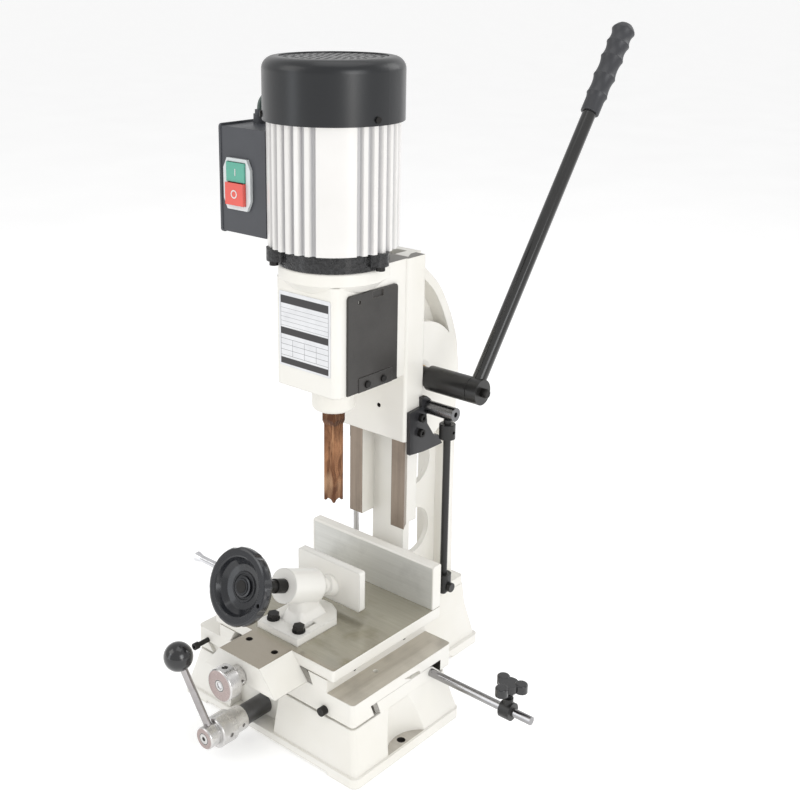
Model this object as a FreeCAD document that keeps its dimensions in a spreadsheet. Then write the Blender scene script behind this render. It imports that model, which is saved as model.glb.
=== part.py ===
import FreeCAD, Part
import math
import os
import re

# Benchtop mortiser: a parametric assembly in millimetres.
# Frame: +X to the operator's right, -Y towards the operator, +Z up.
# The origin is on the bench face, on the machine's mid-plane, under the chisel.

os.makedirs("parts", exist_ok=True)
V = FreeCAD.Vector
doc = FreeCAD.newDocument("mortiser")
sheet = doc.addObject("Spreadsheet::Sheet", "sizes")
cells = {}


def put(alias, value):
    row = len(cells) + 1
    cells[alias] = float(value)
    sheet.set("A%d" % row, alias)
    sheet.set("B%d" % row, repr(round(float(value), 5)))
    sheet.setAlias("B%d" % row, alias)
    return alias


MAIN = {
    "chisel_side": 16.0, "chisel_tip_height": 267.0, "auger_radius": 6.3,
    "head_half_width": 48.0, "head_front": -48.0, "head_bottom": 418.0, "head_top": 546.0,
    "collar_radius": 63.5, "nose_radius": 25.6,
    "motor_radius": 74.9, "motor_low": 583.0, "motor_high": 723.0,
    "cover_radius": 79.2, "cover_top": 791.8, "cover_wall": 2.2,
    "flange_radius": 64.0, "slide_half_width": 50.5, "slide_front": 71.0, "slide_back": 104.0,
    "slide_low": 332.0, "slide_high": 560.0,
    "rail_outer": 44.6, "rail_inner": 23.7, "rail_front": 79.5, "rail_low": 212.5, "column_top": 560.0,
    "lever_y": 118.0, "lever_z": 403.0, "lever_x": 117.4, "lever_tilt": 53.8,
    "shaft_radius": 10.0, "hub_radius": 15.5, "pinion_module": 2.0, "pinion_teeth": 36.0,
    "saddle_half": 129.0, "saddle_low": 64.9, "saddle_ledge": 93.6, "saddle_top": 109.8,
    "table_half": 98.5, "table_low": 110.1, "table_top": 124.1, "table_front": -107.0, "table_rear": 88.0,
    "tongue_front": -159.3, "fence_top": 182.3,
    "clamp_drop": 21.5, "wheel_radius": 44.0,
    "plinth_top": 12.5, "plinth_half": 145.0, "pedestal_top": 61.8,
    "rod_radius": 5.0, "lead_rise": 741.5, "bench_bolt_x": 134.4, "bench_bolt_y": -29.0, "bench_hole": 5.0,
}
for key, value in MAIN.items():
    put(key, value)
WORD = re.compile(r"\b[A-Za-z_][A-Za-z_0-9]*\b")
counter = [0]


def num(expr):
    return value_of(expr) if isinstance(expr, str) else float(expr)


def value_of(text):
    # a plain sum, difference, product or quotient of sheet names and numbers, read left to right
    total, op = None, None
    for token in re.findall(r"[A-Za-z_][A-Za-z_0-9]*|\d+\.?\d*|[-+*/]", text.replace(" ", "")):
        if token in "+-*/":
            if total is None and token == "-":
                total, op = 0.0, "-"
            else:
                op = token
            continue
        item = cells[token] if token in cells else float(token)
        if total is None:
            total = item
        elif op == "+":
            total += item
        elif op == "-":
            total -= item
        elif op == "*":
            total *= item
        else:
            total /= item
    return total


def cell(name, tag, value):
    if isinstance(value, str):
        return WORD.sub(lambda w: "sizes." + w.group(0), value)
    return "sizes." + put("%s_%s" % (name, tag), value)


def fresh(name):
    counter[0] += 1
    return "%s_f%d" % (name, counter[0])


def box(name, x0, x1, y0, y1, z0, z1):
    n = fresh(name)
    o = doc.addObject("Part::Box", n)
    e = [cell(n, k, v) for k, v in zip(("xa", "xb", "ya", "yb", "za", "zb"), (x0, x1, y0, y1, z0, z1))]
    o.setExpression("Length", "(%s) - (%s)" % (e[1], e[0]))
    o.setExpression("Width", "(%s) - (%s)" % (e[3], e[2]))
    o.setExpression("Height", "(%s) - (%s)" % (e[5], e[4]))
    o.setExpression("Placement.Base.x", e[0])
    o.setExpression("Placement.Base.y", e[2])
    o.setExpression("Placement.Base.z", e[4])
    return o


TURN = {"Z": FreeCAD.Rotation(0, 0, 0, 1), "X": FreeCAD.Rotation(V(0, 1, 0), 90), "Y": FreeCAD.Rotation(V(1, 0, 0), -90)}


def base_at(o, n, axis, start, c):
    order = {"Z": (c[0], c[1], start), "X": (start, c[0], c[1]), "Y": (c[0], start, c[1])}[axis]
    for k, v in zip("xyz", order):
        o.setExpression("Placement.Base." + k, cell(n, "p" + k, v))


def cyl(name, axis, r, a0, a1, c):
    n = fresh(name)
    o = doc.addObject("Part::Cylinder", n)
    o.Placement = FreeCAD.Placement(V(), TURN[axis])
    o.setExpression("Radius", cell(n, "rad", r))
    o.setExpression("Height", "(%s) - (%s)" % (cell(n, "end", a1), cell(n, "start", a0)))
    base_at(o, n, axis, a0, c)
    return o


def cone(name, axis, r0, r1, a0, a1, c):
    n = fresh(name)
    o = doc.addObject("Part::Cone", n)
    o.Placement = FreeCAD.Placement(V(), TURN[axis])
    o.setExpression("Radius1", cell(n, "rada", r0))
    o.setExpression("Radius2", cell(n, "radb", r1))
    o.setExpression("Height", "(%s) - (%s)" % (cell(n, "end", a1), cell(n, "start", a0)))
    base_at(o, n, axis, a0, c)
    return o


def aim(o, n, at, direction):
    d = V(*direction)
    o.Placement = FreeCAD.Placement(V(*at), FreeCAD.Rotation(V(0, 0, 1), d))
    for k, v in zip("xyz", at):
        o.setExpression("Placement.Base." + k, cell(n, "p" + k, v))
    return o


def rod(name, r, at, direction, length, r2=None):
    n = fresh(name)
    if r2 is None:
        o = doc.addObject("Part::Cylinder", n)
        o.setExpression("Radius", cell(n, "rad", r))
    else:
        o = doc.addObject("Part::Cone", n)
        o.setExpression("Radius1", cell(n, "rada", r))
        o.setExpression("Radius2", cell(n, "radb", r2))
    o.setExpression("Height", cell(n, "len", length))
    return aim(o, n, at, direction)


def ball(name, r, at, direction):
    n = fresh(name)
    o = doc.addObject("Part::Sphere", n)
    o.setExpression("Radius", cell(n, "rad", r))
    return aim(o, n, at, direction)


def ring(name, r1, r2, at, direction=(0, 0, 1)):
    n = fresh(name)
    o = doc.addObject("Part::Torus", n)
    o.setExpression("Radius1", cell(n, "rada", r1))
    o.setExpression("Radius2", cell(n, "radb", r2))
    return aim(o, n, at, direction)


def sketch_on(body, n, role, points):
    sk = body.newObject("Sketcher::SketchObject", n + "_sk")
    plane = [f for f in body.Origin.OriginFeatures if f.Role == role][0]
    sk.AttachmentSupport = [(plane, "")]
    sk.MapMode = "FlatFace"
    k = len(points)
    import Sketcher
    pts = [V(num(p[0]), num(p[1]), 0) for p in points]
    sk.addGeometry([Part.LineSegment(pts[i], pts[(i + 1) % k]) for i in range(k)], False)
    sk.addConstraint([Sketcher.Constraint("Coincident", i, 2, (i + 1) % k, 1) for i in range(k)])
    for i in range(k):
        a = sk.addConstraint(Sketcher.Constraint("DistanceX", -1, 1, i, 1, pts[i].x))
        b = sk.addConstraint(Sketcher.Constraint("DistanceY", -1, 1, i, 1, pts[i].y))
        sk.setExpression("Constraints[%d]" % a, cell(n, "u%d" % i, points[i][0]))
        sk.setExpression("Constraints[%d]" % b, cell(n, "v%d" % i, points[i][1]))
    return sk


def prism(name, axis, points, a0, a1):
    """A padded profile. axis Z: (x, y) points; X: (y, z) points; Y: (x, z) points."""
    n = fresh(name)
    body = doc.addObject("PartDesign::Body", n)
    role = {"Z": "XY_Plane", "X": "YZ_Plane", "Y": "XZ_Plane"}[axis]
    sk = sketch_on(body, n, role, points)
    pad = body.newObject("PartDesign::Pad", n + "_pad")
    pad.Profile = sk
    pad.Reversed = axis == "Y"
    pad.setExpression("Length", "(%s) - (%s)" % (cell(n, "end", a1), cell(n, "start", a0)))
    body.Tip = pad
    sk.Visibility = False
    body.setExpression("Placement.Base." + axis.lower(), cell(n, "start", a0) if isinstance(a0, str) else "sizes.%s_start" % n)
    return body


def spun(name, points, at, direction=(0, 0, 1)):
    """A profile of (radius, height) points revolved about its own axis."""
    n = fresh(name)
    body = doc.addObject("PartDesign::Body", n)
    sk = sketch_on(body, n, "XZ_Plane", points)
    rev = body.newObject("PartDesign::Revolution", n + "_rev")
    rev.Profile = sk
    rev.ReferenceAxis = (sk, ["V_Axis"])
    rev.Angle = 360.0
    body.Tip = rev
    sk.Visibility = False
    return aim(body, n, at, direction)


def fuse(items, name="joined"):
    if len(items) == 1:
        return items[0]
    o = doc.addObject("Part::MultiFuse", fresh(name))
    o.Shapes = items
    o.Refine = True
    return o


def cut(base, tools, name="cut"):
    o = doc.addObject("Part::Cut", fresh(name))
    o.Base = base
    o.Tool = fuse(tools, name + "_tools")
    o.Refine = True
    return o


def common(a, b, name="common"):
    o = doc.addObject("Part::Common", fresh(name))
    o.Base = a
    o.Tool = b
    return o


def soften(o, radius, pick, name="round", kind="Part::Fillet"):
    """Rounds the straight or round edges that pick() accepts."""
    doc.recompute([o])
    found = [i + 1 for i, e in enumerate(o.Shape.Edges) if pick(e)]
    if not found:
        raise RuntimeError("no edge to round on " + o.Name)
    alias = put(fresh(name) + "_radius", num(radius))
    for share in (1.0, 0.7, 0.45):
        f = doc.addObject(kind, fresh(name))
        f.Base = o
        f.Edges = [(i, cells[alias] * share, cells[alias] * share) for i in found]
        doc.recompute([f])
        if not f.Shape.isNull() and f.Shape.isValid() and "Invalid" not in f.State:
            if share < 1:
                print("rounding reduced on", o.Name)
            return f
        doc.removeObject(f.Name)
    raise RuntimeError("rounding failed on " + o.Name)


def along(axis, test=lambda m: True):
    k = "XYZ".index(axis)

    def pick(e):
        if not isinstance(e.Curve, Part.Line):
            return False
        d = e.Curve.Direction
        return abs(abs((d.x, d.y, d.z)[k]) - 1) < 1e-6 and test(e.CenterOfMass)
    return pick


NODES = {}


def node(label, o):
    if not isinstance(o, list):
        o = [o]
    if len(o) > 1:
        c = doc.addObject("Part::Compound", fresh(label))
        c.Links = o
        o = c
    else:
        o = o[0]
    o.Label = label
    NODES[label] = o
    return o


LOOSE = {}


def loose(name, o):
    """A piece that joins others in one node further down."""
    if isinstance(o, list):
        c = doc.addObject("Part::Compound", fresh(name))
        c.Links = o
        o = c
    LOOSE[name] = o
    return o


# ---------------------------------------------------------------- base
def wedge(name, lowx, lowy, z0, topx, topy, z1):
    n = fresh(name)
    o = doc.addObject("Part::Wedge", n)
    o.Placement = FreeCAD.Placement(V(), FreeCAD.Rotation(V(1, 0, 0), 90))
    for prop, tag, v in (("Xmin", "xa", lowx[0]), ("Xmax", "xb", lowx[1]), ("Ymin", "za", z0), ("Ymax", "zb", z1),
                         ("Zmin", "ya", -lowy[1]), ("Zmax", "yb", -lowy[0]), ("X2min", "xc", topx[0]), ("X2max", "xd", topx[1]),
                         ("Z2min", "yc", -topy[1]), ("Z2max", "yd", -topy[0])):
        o.setExpression(prop, cell(n, tag, v))
    return o


plinth = soften(box("plinth", -145, 145, -122, 71, 0, "plinth_top"), 9, along("Z"))
rear_plinth = soften(box("rear_plinth", -61.5, 61.5, 60, 223.5, 0, "plinth_top"), 8, along("Z", lambda p: p.y > 200))
pedestal = wedge("pedestal", (-142.3, 142.3), (-118.9, 71), 12.4, (-129, 129), (-108, 60), 61.8)
pedestal = soften(pedestal, 7, lambda e: isinstance(e.Curve, Part.Line) and abs(e.Curve.Direction.z) > 0.8)
block = wedge("block", (-57, 57), (55, 218), 12.4, (-48, 48), (80, 207), 62)
block_top = wedge("block_top", (-48.05, 48.05), (92, 207.1), 61.9, (-46.5, 46.5), (96, 204), 89.5)
male = prism("male", "X", [(-60, 61), (-67.2, 79), (29, 79), (36, 76.5), (49.5, 64.2), (49.5, 61)], -129, 129)
base = fuse([plinth, rear_plinth, pedestal, block, block_top, male], "base")
base_cuts = [
    box("under", -107, 107, -92, 46, -1, 50),
    box("foot_front", -102.5, 102.5, -130, -84, -1, 3.5),
    box("foot_rear", -110, 110, 40, 80, -1, 3.5),
    box("foot_side", -70, 70, 80, 166, -1, 3.5),
    box("recess", -62, 13, -130, -101, 12.5, 66),
    box("rack_slot", -116, 77, -21.5, -4, 40, 90),
    cyl("pocket_r", "Z", 41, 12.5, 61, (166.5, -28.5)), cyl("pocket_l", "Z", 41, 12.5, 61, (-166.5, -28.5)),
    cyl("bolt_r", "Z", "bench_hole", -1, 13, ("bench_bolt_x", "bench_bolt_y")),
    cyl("bolt_l", "Z", "bench_hole", -1, 13, (-134.4, "bench_bolt_y")),
    cyl("sleeve_bore", "Y", 11.55, -125, 12, (-20, 28.5)),
    cyl("stop_bore", "X", 5.03, 90, 130, (32, 71)),
    cyl("column_bolt_a", "Z", 5.05, -1, 95, (-30, 120)), cyl("column_bolt_b", "Z", 5.05, -1, 95, (30, 120)),
    cyl("column_bolt_c", "Z", 5.05, -1, 95, (-17, 196)), cyl("column_bolt_d", "Z", 5.05, -1, 95, (17, 196)),
    box("rear_under", -40, 40, 85, 205, -1, 55),
]
base = cut(base, base_cuts, "base_cut")
rib = cut(box("pinion_rib", -42, 8, -2.6, 14, 0, 50.5), [cyl("rib_bore", "Y", 8.06, -5, 20, (-20, 28.5))], "rib")
node("base_casting", fuse([base, rib], "base_all"))
node("column_bolts", [fuse([cyl("cbolt", "Z", 5.0, 50, 104, c), cyl("cbolt_head", "Z", 8.0, 46, 54.98, c)], "cb")
                      for c in ((-30, 120), (30, 120), (-17, 196), (17, 196))])

# ---------------------------------------------------------------- column
rails = prism("rails", "Z", [(23.7, "rail_front"), ("rail_outer", "rail_front"), (36, 95), (36, 114), (-36, 114), (-36, 95),
                             (-44.6, "rail_front"), (-23.7, "rail_front"), (-23.7, 102.4), (23.7, 102.4)], "rail_low", "column_top")
rear_key = [(207, 89.5), (205, 203), (206, 286), (206, 381), (207, 400), (205, 422), (199, 443), (190.5, 464), (179, 486),
            (164, 508), (145, 526), (122, 546), (114, 560)]
rear_line = rear_key[:3]
for i in range(3, 11):
    (y0, z0), (y1, z1), (y2, z2), (y3, z3) = rear_key[i - 1:i + 3]
    for t in (0.0, 0.34, 0.67):
        pt = [0.5 * (2 * b1 + (c1 - a1) * t + (2 * a1 - 5 * b1 + 4 * c1 - d1) * t * t + (3 * b1 - a1 - 3 * c1 + d1) * t * t * t)
              for a1, b1, c1, d1 in ((y0, y1, y2, y3), (z0, z1, z2, z3))]
        rear_line.append((round(pt[0], 2), round(pt[1], 2)))
rear_line += rear_key[11:]
web = prism("web", "X", [(102.6, 89.5)] + rear_line + [(102.6, 560)], -3.5, 3.5)
rear_inner = []
for i, (y, z) in enumerate(rear_line):
    a = rear_line[max(i - 1, 0)]
    b = rear_line[min(i + 1, len(rear_line) - 1)]
    t = math.hypot(b[0] - a[0], b[1] - a[1])
    rear_inner.append((round(y - 11.3 * (b[1] - a[1]) / t, 2), round(z + 11.3 * (b[0] - a[0]) / t, 2)))
rear_inner[0] = (195.7, 89.5)
back_flange = prism("back_flange", "X", rear_line[:-2] + rear_inner[:-2][::-1], -25.3, 25.3)
front_flange = box("front_flange", -25.3, 25.3, 102.4, 114, 89.5, 212.6)
foot = box("column_foot", -46, 46, 98, 206, 89.5, 101)
foot = soften(foot, 5, along("Z"))
drum = common(cut(cyl("drum", "X", 80.4, -25.3, 25.3, (129, 385)), [cyl("drum_room", "X", 73, -19, 19, (129, 385))], "drum"),
              box("drum_trim", -30, 30, 103, 215, 300, 470), "drum_c")
shaft_boss = cyl("shaft_boss", "X", 20, -35.5, 35.5, ("lever_y", "lever_z"))
pin_boss = box("pin_boss", -36, -20, 104, 114, 112, 132)
column = fuse([rails, web, back_flange, front_flange, foot, drum], "column")
case = common(shaft_boss, box("case_room", -60, 60, 102.4, 200, 300, 500), "case_c")
column = fuse([column, case, pin_boss], "column_b")
column = cut(column, [
    cyl("gear_room", "X", 39.6, -11.5, 11.5, ("lever_y", "lever_z")),
    cyl("bush_seat", "X", 13.0, -60, 60, ("lever_y", "lever_z")),
    cyl("hole_low", "X", 31, -20, 20, (151, 172)), cyl("hole_mid", "X", 31, -20, 20, (151, 268)),
    cyl("cb_a", "Z", 5.05, 80, 110, (-30, 120)), cyl("cb_b", "Z", 5.05, 80, 110, (30, 120)),
    cyl("cb_c", "Z", 5.05, 80, 110, (-17, 196)), cyl("cb_d", "Z", 5.05, 80, 110, (17, 196)),
    cyl("pin_hole", "X", 4.03, -40, 0, (110, 122)), cyl("arm_hole", "X", 5.03, 0, 40, (110, 147)),
], "column_cut")
node("column_casting", column)
node("lever_shaft_bushes", [cut(cyl("bush", "X", 13.0, x0, x1, ("lever_y", "lever_z")),
                                [cyl("bush_in", "X", 10.05, x0 - 1, x1 + 1, ("lever_y", "lever_z"))], "bush")
                            for x0, x1 in ((11.5, 36.5), (-36.5, -11.5))])
loose("depth_guide_arm", fuse([cyl("arm", "X", 5.0, 12, 78.5, (110, 147)), cyl("arm_shoulder", "X", 8, 25.4, 31, (110, 147))], "arm"))
guide = box("guide", 76, 94, 101, 119, 134, 156)
guide = soften(guide, 7, along("Z"))
guide = cut(guide, [cyl("guide_bore", "Z", 4.56, 130, 170, (85, 110)), cyl("guide_tap", "X", 2.53, 88, 96, (110, 140))], "guide")
loose("depth_guide_block", guide)
loose("depth_guide_screw", fuse([cyl("gscr", "X", 2.5, 89.7, 95, (110, 140)), soften(cyl("gscr_h", "X", 6.0, 94.1, 99, (110, 140)), 0.8, lambda e: abs(e.CenterOfMass.x - 99) < 0.01)], "gscr"))
loose("strut_lower_pin", fuse([cyl("spin", "X", 4.0, -68, -22, (110, 122)), cyl("spin_head", "X", 6.5, -71, -68, (110, 122)),
                              cyl("spin_col", "X", 7.5, -52, -36.1, (110, 122))], "spin"))
eye = cut(fuse([cyl("eye", "X", 8.5, -65.5, -55.5, (110, 122)), cyl("strut_rod", "Z", 4.0, 126, 388, (-60.5, 110))], "eye"),
          [cyl("eye_bore", "X", 4.03, -70, -50, (110, 122))], "eye_cut")
loose("gas_strut_rod", eye)

# ---------------------------------------------------------------- head
head = box("head", "-head_half_width", "head_half_width", "head_front", 76, "head_bottom", "head_top")
head = soften(head, 8.5, along("Z", lambda p: p.y < 0))
neck = cyl("head_collar", "Z", "collar_radius", 546.9, 562, (0, 0))
neck = soften(neck, 3, lambda e: abs(e.CenterOfMass.z - 562) < 0.01)
taper = cone("head_taper", "Z", 50, 63.5, 535.6, 547.0, (0, 0))
back_fill = box("back_fill", -48, 48, 0, 76, 540, 560)
slide = prism("slide", "Z", [("slide_half_width", 71), ("slide_half_width", 104), (36.5, 104), (36.5, 94.95), (45.0, 79.2),
                             (-47.6, 79.2), (-39.1, 94.95), (-39.1, 104), (-50.5, 104), (-50.5, 71)], "slide_low", "slide_high")
slide = soften(slide, 4, along("Z", lambda p: p.y < 72))
nose = cyl("nose", "Z", "nose_radius", 384, 419, (0, 0))
nose = soften(nose, 6, lambda e: abs(e.CenterOfMass.z - 384) < 0.01)
head = fuse([head, neck, taper, back_fill, slide, nose], "head_all")
head = cut(head, [
    box("chuck_room", -37, 41, -36, 58, 428, 530), box("doorway", 40, 60, -25, 48, 440, 522),
    cyl("top_bore", "Z", 46, 529, 570, (0, 0)),
    cyl("bush_bore", "Z", 14.3, 380, 430, (0, 0)),
    box("rack_seat", -10.2, 10.2, 74.4, 90, 386, 534),
    cyl("plain_hole", "Y", 2.6, 66, 76, (9.5, 370.4)),
    cyl("lock_thread", "X", 3.03, -60, -10, (0, 404)),
    cyl("strip_a", "X", 2.03, 36, 60, (0.1, 426)), cyl("strip_b", "X", 2.03, 36, 60, (28, 426)),
    cyl("brk_a", "X", 3.03, 40, 60, (95.4, 359)), cyl("brk_b", "X", 3.03, 40, 60, (94.2, 340)),
    cyl("gib_a", "X", 2.53, -60, -40, (87, 360)), cyl("gib_b", "X", 2.53, -60, -40, (87, 446)), cyl("gib_c", "X", 2.53, -60, -40, (87, 532)),
    cyl("lid_dimple", "X", 2.2, 47, 60, (-12.7, 524.9)),
], "head_cut")
node("head_casting", head)
node("head_gib", prism("head_gib", "Z", [(-47.55, 79.3), (-44.95, 79.3), (-36.4, 94.9), (-39.0, 94.9)], 334, 558))
loose("head_gib_screws", [fuse([cyl("gs", "X", 2.5, -51.5, -46.6, (87, z)), cyl("gsn", "X", 5, -54.5, -50.55, (87, z))], "gs") for z in (360, 446, 532)])
mod = cells["pinion_module"]
rack_pts = [(74.5, 390), (79.4, 390)]
k = -2
while True:
    zc = 403 + mod * math.pi * (k + 0.5)
    if zc + 3.2 > 530:
        break
    if zc - 3.2 > 390:
        rack_pts += [(79.4, round(zc - 2.40, 3)), (83.9, round(zc - 0.72, 3)), (83.9, round(zc + 0.72, 3)), (79.4, round(zc + 2.40, 3))]
    k += 1
rack_pts += [(79.4, 530), (74.5, 530)]
node("head_rack", prism("rack", "X", rack_pts, -10, 10))

# motor
ang = lambda a, r: (round(r * math.cos(math.radians(a)), 4), round(r * math.sin(math.radians(a)), 4))
flange = cyl("flange", "Z", "flange_radius", 562.05, 583, (0, 0))
lugs = []
for a in (0, 120, 240):
    x, y = ang(a, 66)
    lug = cyl("lug", "Z", 12.5, 568, 583, (x, y))
    lugs.append(lug)
flange = cut(fuse([flange] + lugs, "flange"), [cyl("flange_bore", "Z", 20.0, 560, 590, (0, 0)), cyl("flange_relief", "Z", 45.8, 561, 574, (0, 0))]
             + [cyl("lug_hole", "Z", 3.05, 560, 590, ang(a, 70)) for a in (0, 120, 240)], "flange")
node("motor_flange", flange)
loose("flange_screws", [fuse([cyl("fs", "Z", 3.0, 566, 592, ang(a, 70)), cyl("fsh", "Z", 5.2, 562.4, 567.98, ang(a, 70))], "fs") for a in (0, 120, 240)])
def flute(name, angle, r0, r1, half0, half1, z0, z1):
    """A tapered cutter that opens outwards, along Z, at an angle about the Z axis."""
    n = fresh(name)
    o = doc.addObject("Part::Wedge", n)
    o.Placement = FreeCAD.Placement(V(), FreeCAD.Rotation(V(0, 0, 1), angle - 90))
    for prop, tag, v in (("Xmin", "xa", -half0), ("Xmax", "xb", half0), ("Ymin", "ra", r0), ("Ymax", "rb", r1), ("Zmin", "za", z0), ("Zmax", "zb", z1),
                         ("X2min", "xc", -half1), ("X2max", "xd", half1), ("Z2min", "zc", z0), ("Z2max", "zd", z1)):
        o.setExpression(prop, cell(n, tag, v))
    return o


shell = cyl("shell", "Z", "motor_radius", "motor_low", "motor_high", (0, 0))
slots = []
fin_angles = [k * 90 - 45 + rel for k in range(4) for rel in (20, 30, 40, 50, 60, 70)]
for a in fin_angles:
    slots.append(flute("fin_gap", a, 69.9, 78, 1.5, 5.4, 582, 722.5))
shell = cut(shell, slots + [cyl("shell_in", "Z", 66, 589, 730, (0, 0)), cyl("shell_bore", "Z", 20.0, 580, 600, (0, 0))]
            + [cyl("lug_thread", "Z", 3.05, 580, 592.5, ang(a, 70)) for a in (0, 120, 240)], "shell")
node("stator_core", cut(cyl("stator", "Z", 65.95, 612, 690, (0, 0)), [cyl("stator_in", "Z", 38.6, 600, 700, (0, 0))], "stator"))
shield = cut(cyl("shield", "Z", 76.9, 722.9, 733, (0, 0)), [cyl("shield_in", "Z", 20.0, 720, 740, (0, 0))], "shield")
cover_skin = soften(cyl("cover", "Z", "cover_radius", 723.1, "cover_top", (0, 0)), 14, lambda e: abs(e.CenterOfMass.z - 791.8) < 0.01)
cover_core = soften(cyl("cover_in", "Z", 77.0, 715, 789.6, (0, 0)), 11.8, lambda e: abs(e.CenterOfMass.z - 789.6) < 0.01)
cover = cut(cover_skin, [cover_core, cyl("cover_hole", "Z", 60.4, 780, 800, (0, 0))], "cover")
holes = []
for r, count, hr in ((9, 6, 2.6), (18, 12, 2.6), (27, 18, 2.6), (36, 24, 2.6), (45, 30, 2.6), (53.5, 36, 2.6)):
    for j in range(count):
        holes.append(cyl("vent", "Z", hr, 780, 800, ang(j * 360.0 / count, r)))
grille = cut(cyl("grille", "Z", 61.2, 788.4, 790.6, (0, 0)), holes, "grille")
loose("fan_grille", grille)
screws = []
for a in (-11.6, 108.4, 228.4):
    c, s_ = math.cos(math.radians(a)), math.sin(math.radians(a))
    screws.append(fuse([rod("cs", 1.5, (72 * c, 72 * s_, 729.5), (c, s_, 0), 8), rod("csh", 3.6, (79.3 * c, 79.3 * s_, 729.5), (c, s_, 0), 2.2)], "cs"))
taps = [rod("sth", 1.55, (round(70 * math.cos(math.radians(a)), 4), round(70 * math.sin(math.radians(a)), 4), 729.5),
            (math.cos(math.radians(a)), math.sin(math.radians(a)), 0), 14) for a in (-11.6, 108.4, 228.4)]
shell = cut(fuse([shell, shield], "shell_all"), taps, "shell_cut")
node("motor_body", shell)
cover = cut(cover, taps + [cyl("lead_hole", "X", 3.6, -90, -70, (7, "lead_rise"))], "cover_cut")
node("fan_cover", fuse([cover, LOOSE["fan_grille"]], "cover_all"))
loose("cover_screws", screws)
node("motor_bearings", [cut(cyl("brg", "Z", 20.0, z0, z0 + 9.5, (0, 0)), [cyl("brg_in", "Z", 8.55, z0 - 1, z0 + 12, (0, 0))], "brg") for z0 in (577, 723.3)])
rotor = fuse([cyl("shaft", "Z", 8.5, 501.2, 760, (0, 0)), cyl("rotor", "Z", 38, 612, 690, (0, 0)), cyl("shaft_collar", "Z", 11, 560, 576.6, (0, 0)),
              cyl("taper", "Z", 7.5, 488.1, 501.3, (0, 0))], "rotor")
loose("rotor_shaft", rotor)
fan = cut(cyl("fan_disc", "Z", 62, 742, 745, (0, 0)), [cyl("fan_bore", "Z", 8.5, 735, 780, (0, 0))], "fan_disc")
blades = []
for a in range(0, 360, 45):
    b = box("blade", 22, 62, -1.2, 1.2, 744.9, 768)
    b.Placement.Rotation = FreeCAD.Rotation(V(0, 0, 1), a)
    c, s_ = math.cos(math.radians(a)), math.sin(math.radians(a))
    b.setExpression("Placement.Base.x", cell(b.Name, "qx", round(22 * c + 1.2 * s_, 4)))
    b.setExpression("Placement.Base.y", cell(b.Name, "qy", round(22 * s_ - 1.2 * c, 4)))
    blades.append(b)
fan_hub = cut(cyl("fan_hub", "Z", 15, 738, 758, (0, 0)), [cyl("fan_bore", "Z", 8.5, 735, 780, (0, 0))], "fan_hub")
loose("cooling_fan", fuse([fan, fan_hub] + blades, "fan"))
chuck = spun("chuck", [(6.35, 452), (9, 452), (17, 470), (20, 474), (20, 506), (17, 510), (8.55, 510), (8.55, 501.1), (7.55, 501.1), (7.55, 488), (6.35, 488)], (0, 0, 0))
node("chuck", chuck)
aug = fuse([cyl("auger_core", "Z", 2.6, 268, 372, (0, 0)), cyl("auger_shank", "Z", 6.3, 370, 487, (0, 0)), cone("auger_tip", "Z", 0.3, 2.6, 262.5, 268.05, (0, 0)),
            box("auger_wing", -6.0, 6.0, -1.3, 1.3, 269, 276)], "auger")
flight = []
steps = 42
for i in range(steps):
    z = 270 + i * (100.0 / steps)
    b = box("flight", -6.1, 6.1, -1.5, 1.5, z, z + 100.0 / steps + 0.05)
    a = i * 24.0
    c, s_ = math.cos(math.radians(a)), math.sin(math.radians(a))
    b.Placement.Rotation = FreeCAD.Rotation(V(0, 0, 1), a)
    b.setExpression("Placement.Base.x", cell(b.Name, "qx", round(-6.1 * c + 1.5 * s_, 4)))
    b.setExpression("Placement.Base.y", cell(b.Name, "qy", round(-6.1 * s_ - 1.5 * c, 4)))
    flight.append(b)
node("auger_bit", fuse([aug] + flight, "auger_all"))

# hollow chisel, its bush and lock screw
shoulder = common(fuse([box("sh_block", -10.3, 10.3, -10.3, 10.3, 371.4, 383.7), wedge("sh_taper", (-8.02, 8.02), (-8.02, 8.02), 364.2, (-10.3, 10.3), (-10.3, 10.3), 371.5)], "sh"),
                  cyl("sh_round", "Z", 13.3, 360, 383.7, (0, 0)), "sh_c")
ch = fuse([box("chisel_sq", -8, 8, -8, 8, "chisel_tip_height", 368), shoulder,
           cyl("chisel_shank", "Z", 9.5, 383, 424, (0, 0))], "chisel")
ch = cut(ch, [cyl("chisel_bore", "Z", 6.4, 250, 430, (0, 0)),
              cone("chisel_mouth", "Z", 7.9, 6.3, 266.5, 272, (0, 0)),
              cyl("tooth_x", "X", 6.2, -10, 10, (0, 264.6)), cyl("tooth_y", "Y", 6.2, -10, 10, (0, 264.6)),
              box("chip_window", -20, 0, -3.6, 3.6, 300, 352)], "chisel_cut")
node("hollow_chisel", ch)
bush = cut(fuse([cyl("cbush", "Z", 14.25, 386, 424, (0, 0))], "cbush"), [cyl("cbush_in", "Z", 9.53, 380, 430, (0, 0)), cyl("cbush_th", "X", 3.03, -20, -5, (0, 404))], "cbush")
node("chisel_bush", bush)
loose("chisel_lock_screw", cut(fuse([cyl("cls", "X", 3.0, -30, -9.7, (0, 404)), cyl("cls_head", "X", 5, -33, -25.8, (0, 404))], "cls"),
                              [cyl("cls_socket", "X", 2.4, -34, -29, (0, 404))], "cls"))

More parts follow.
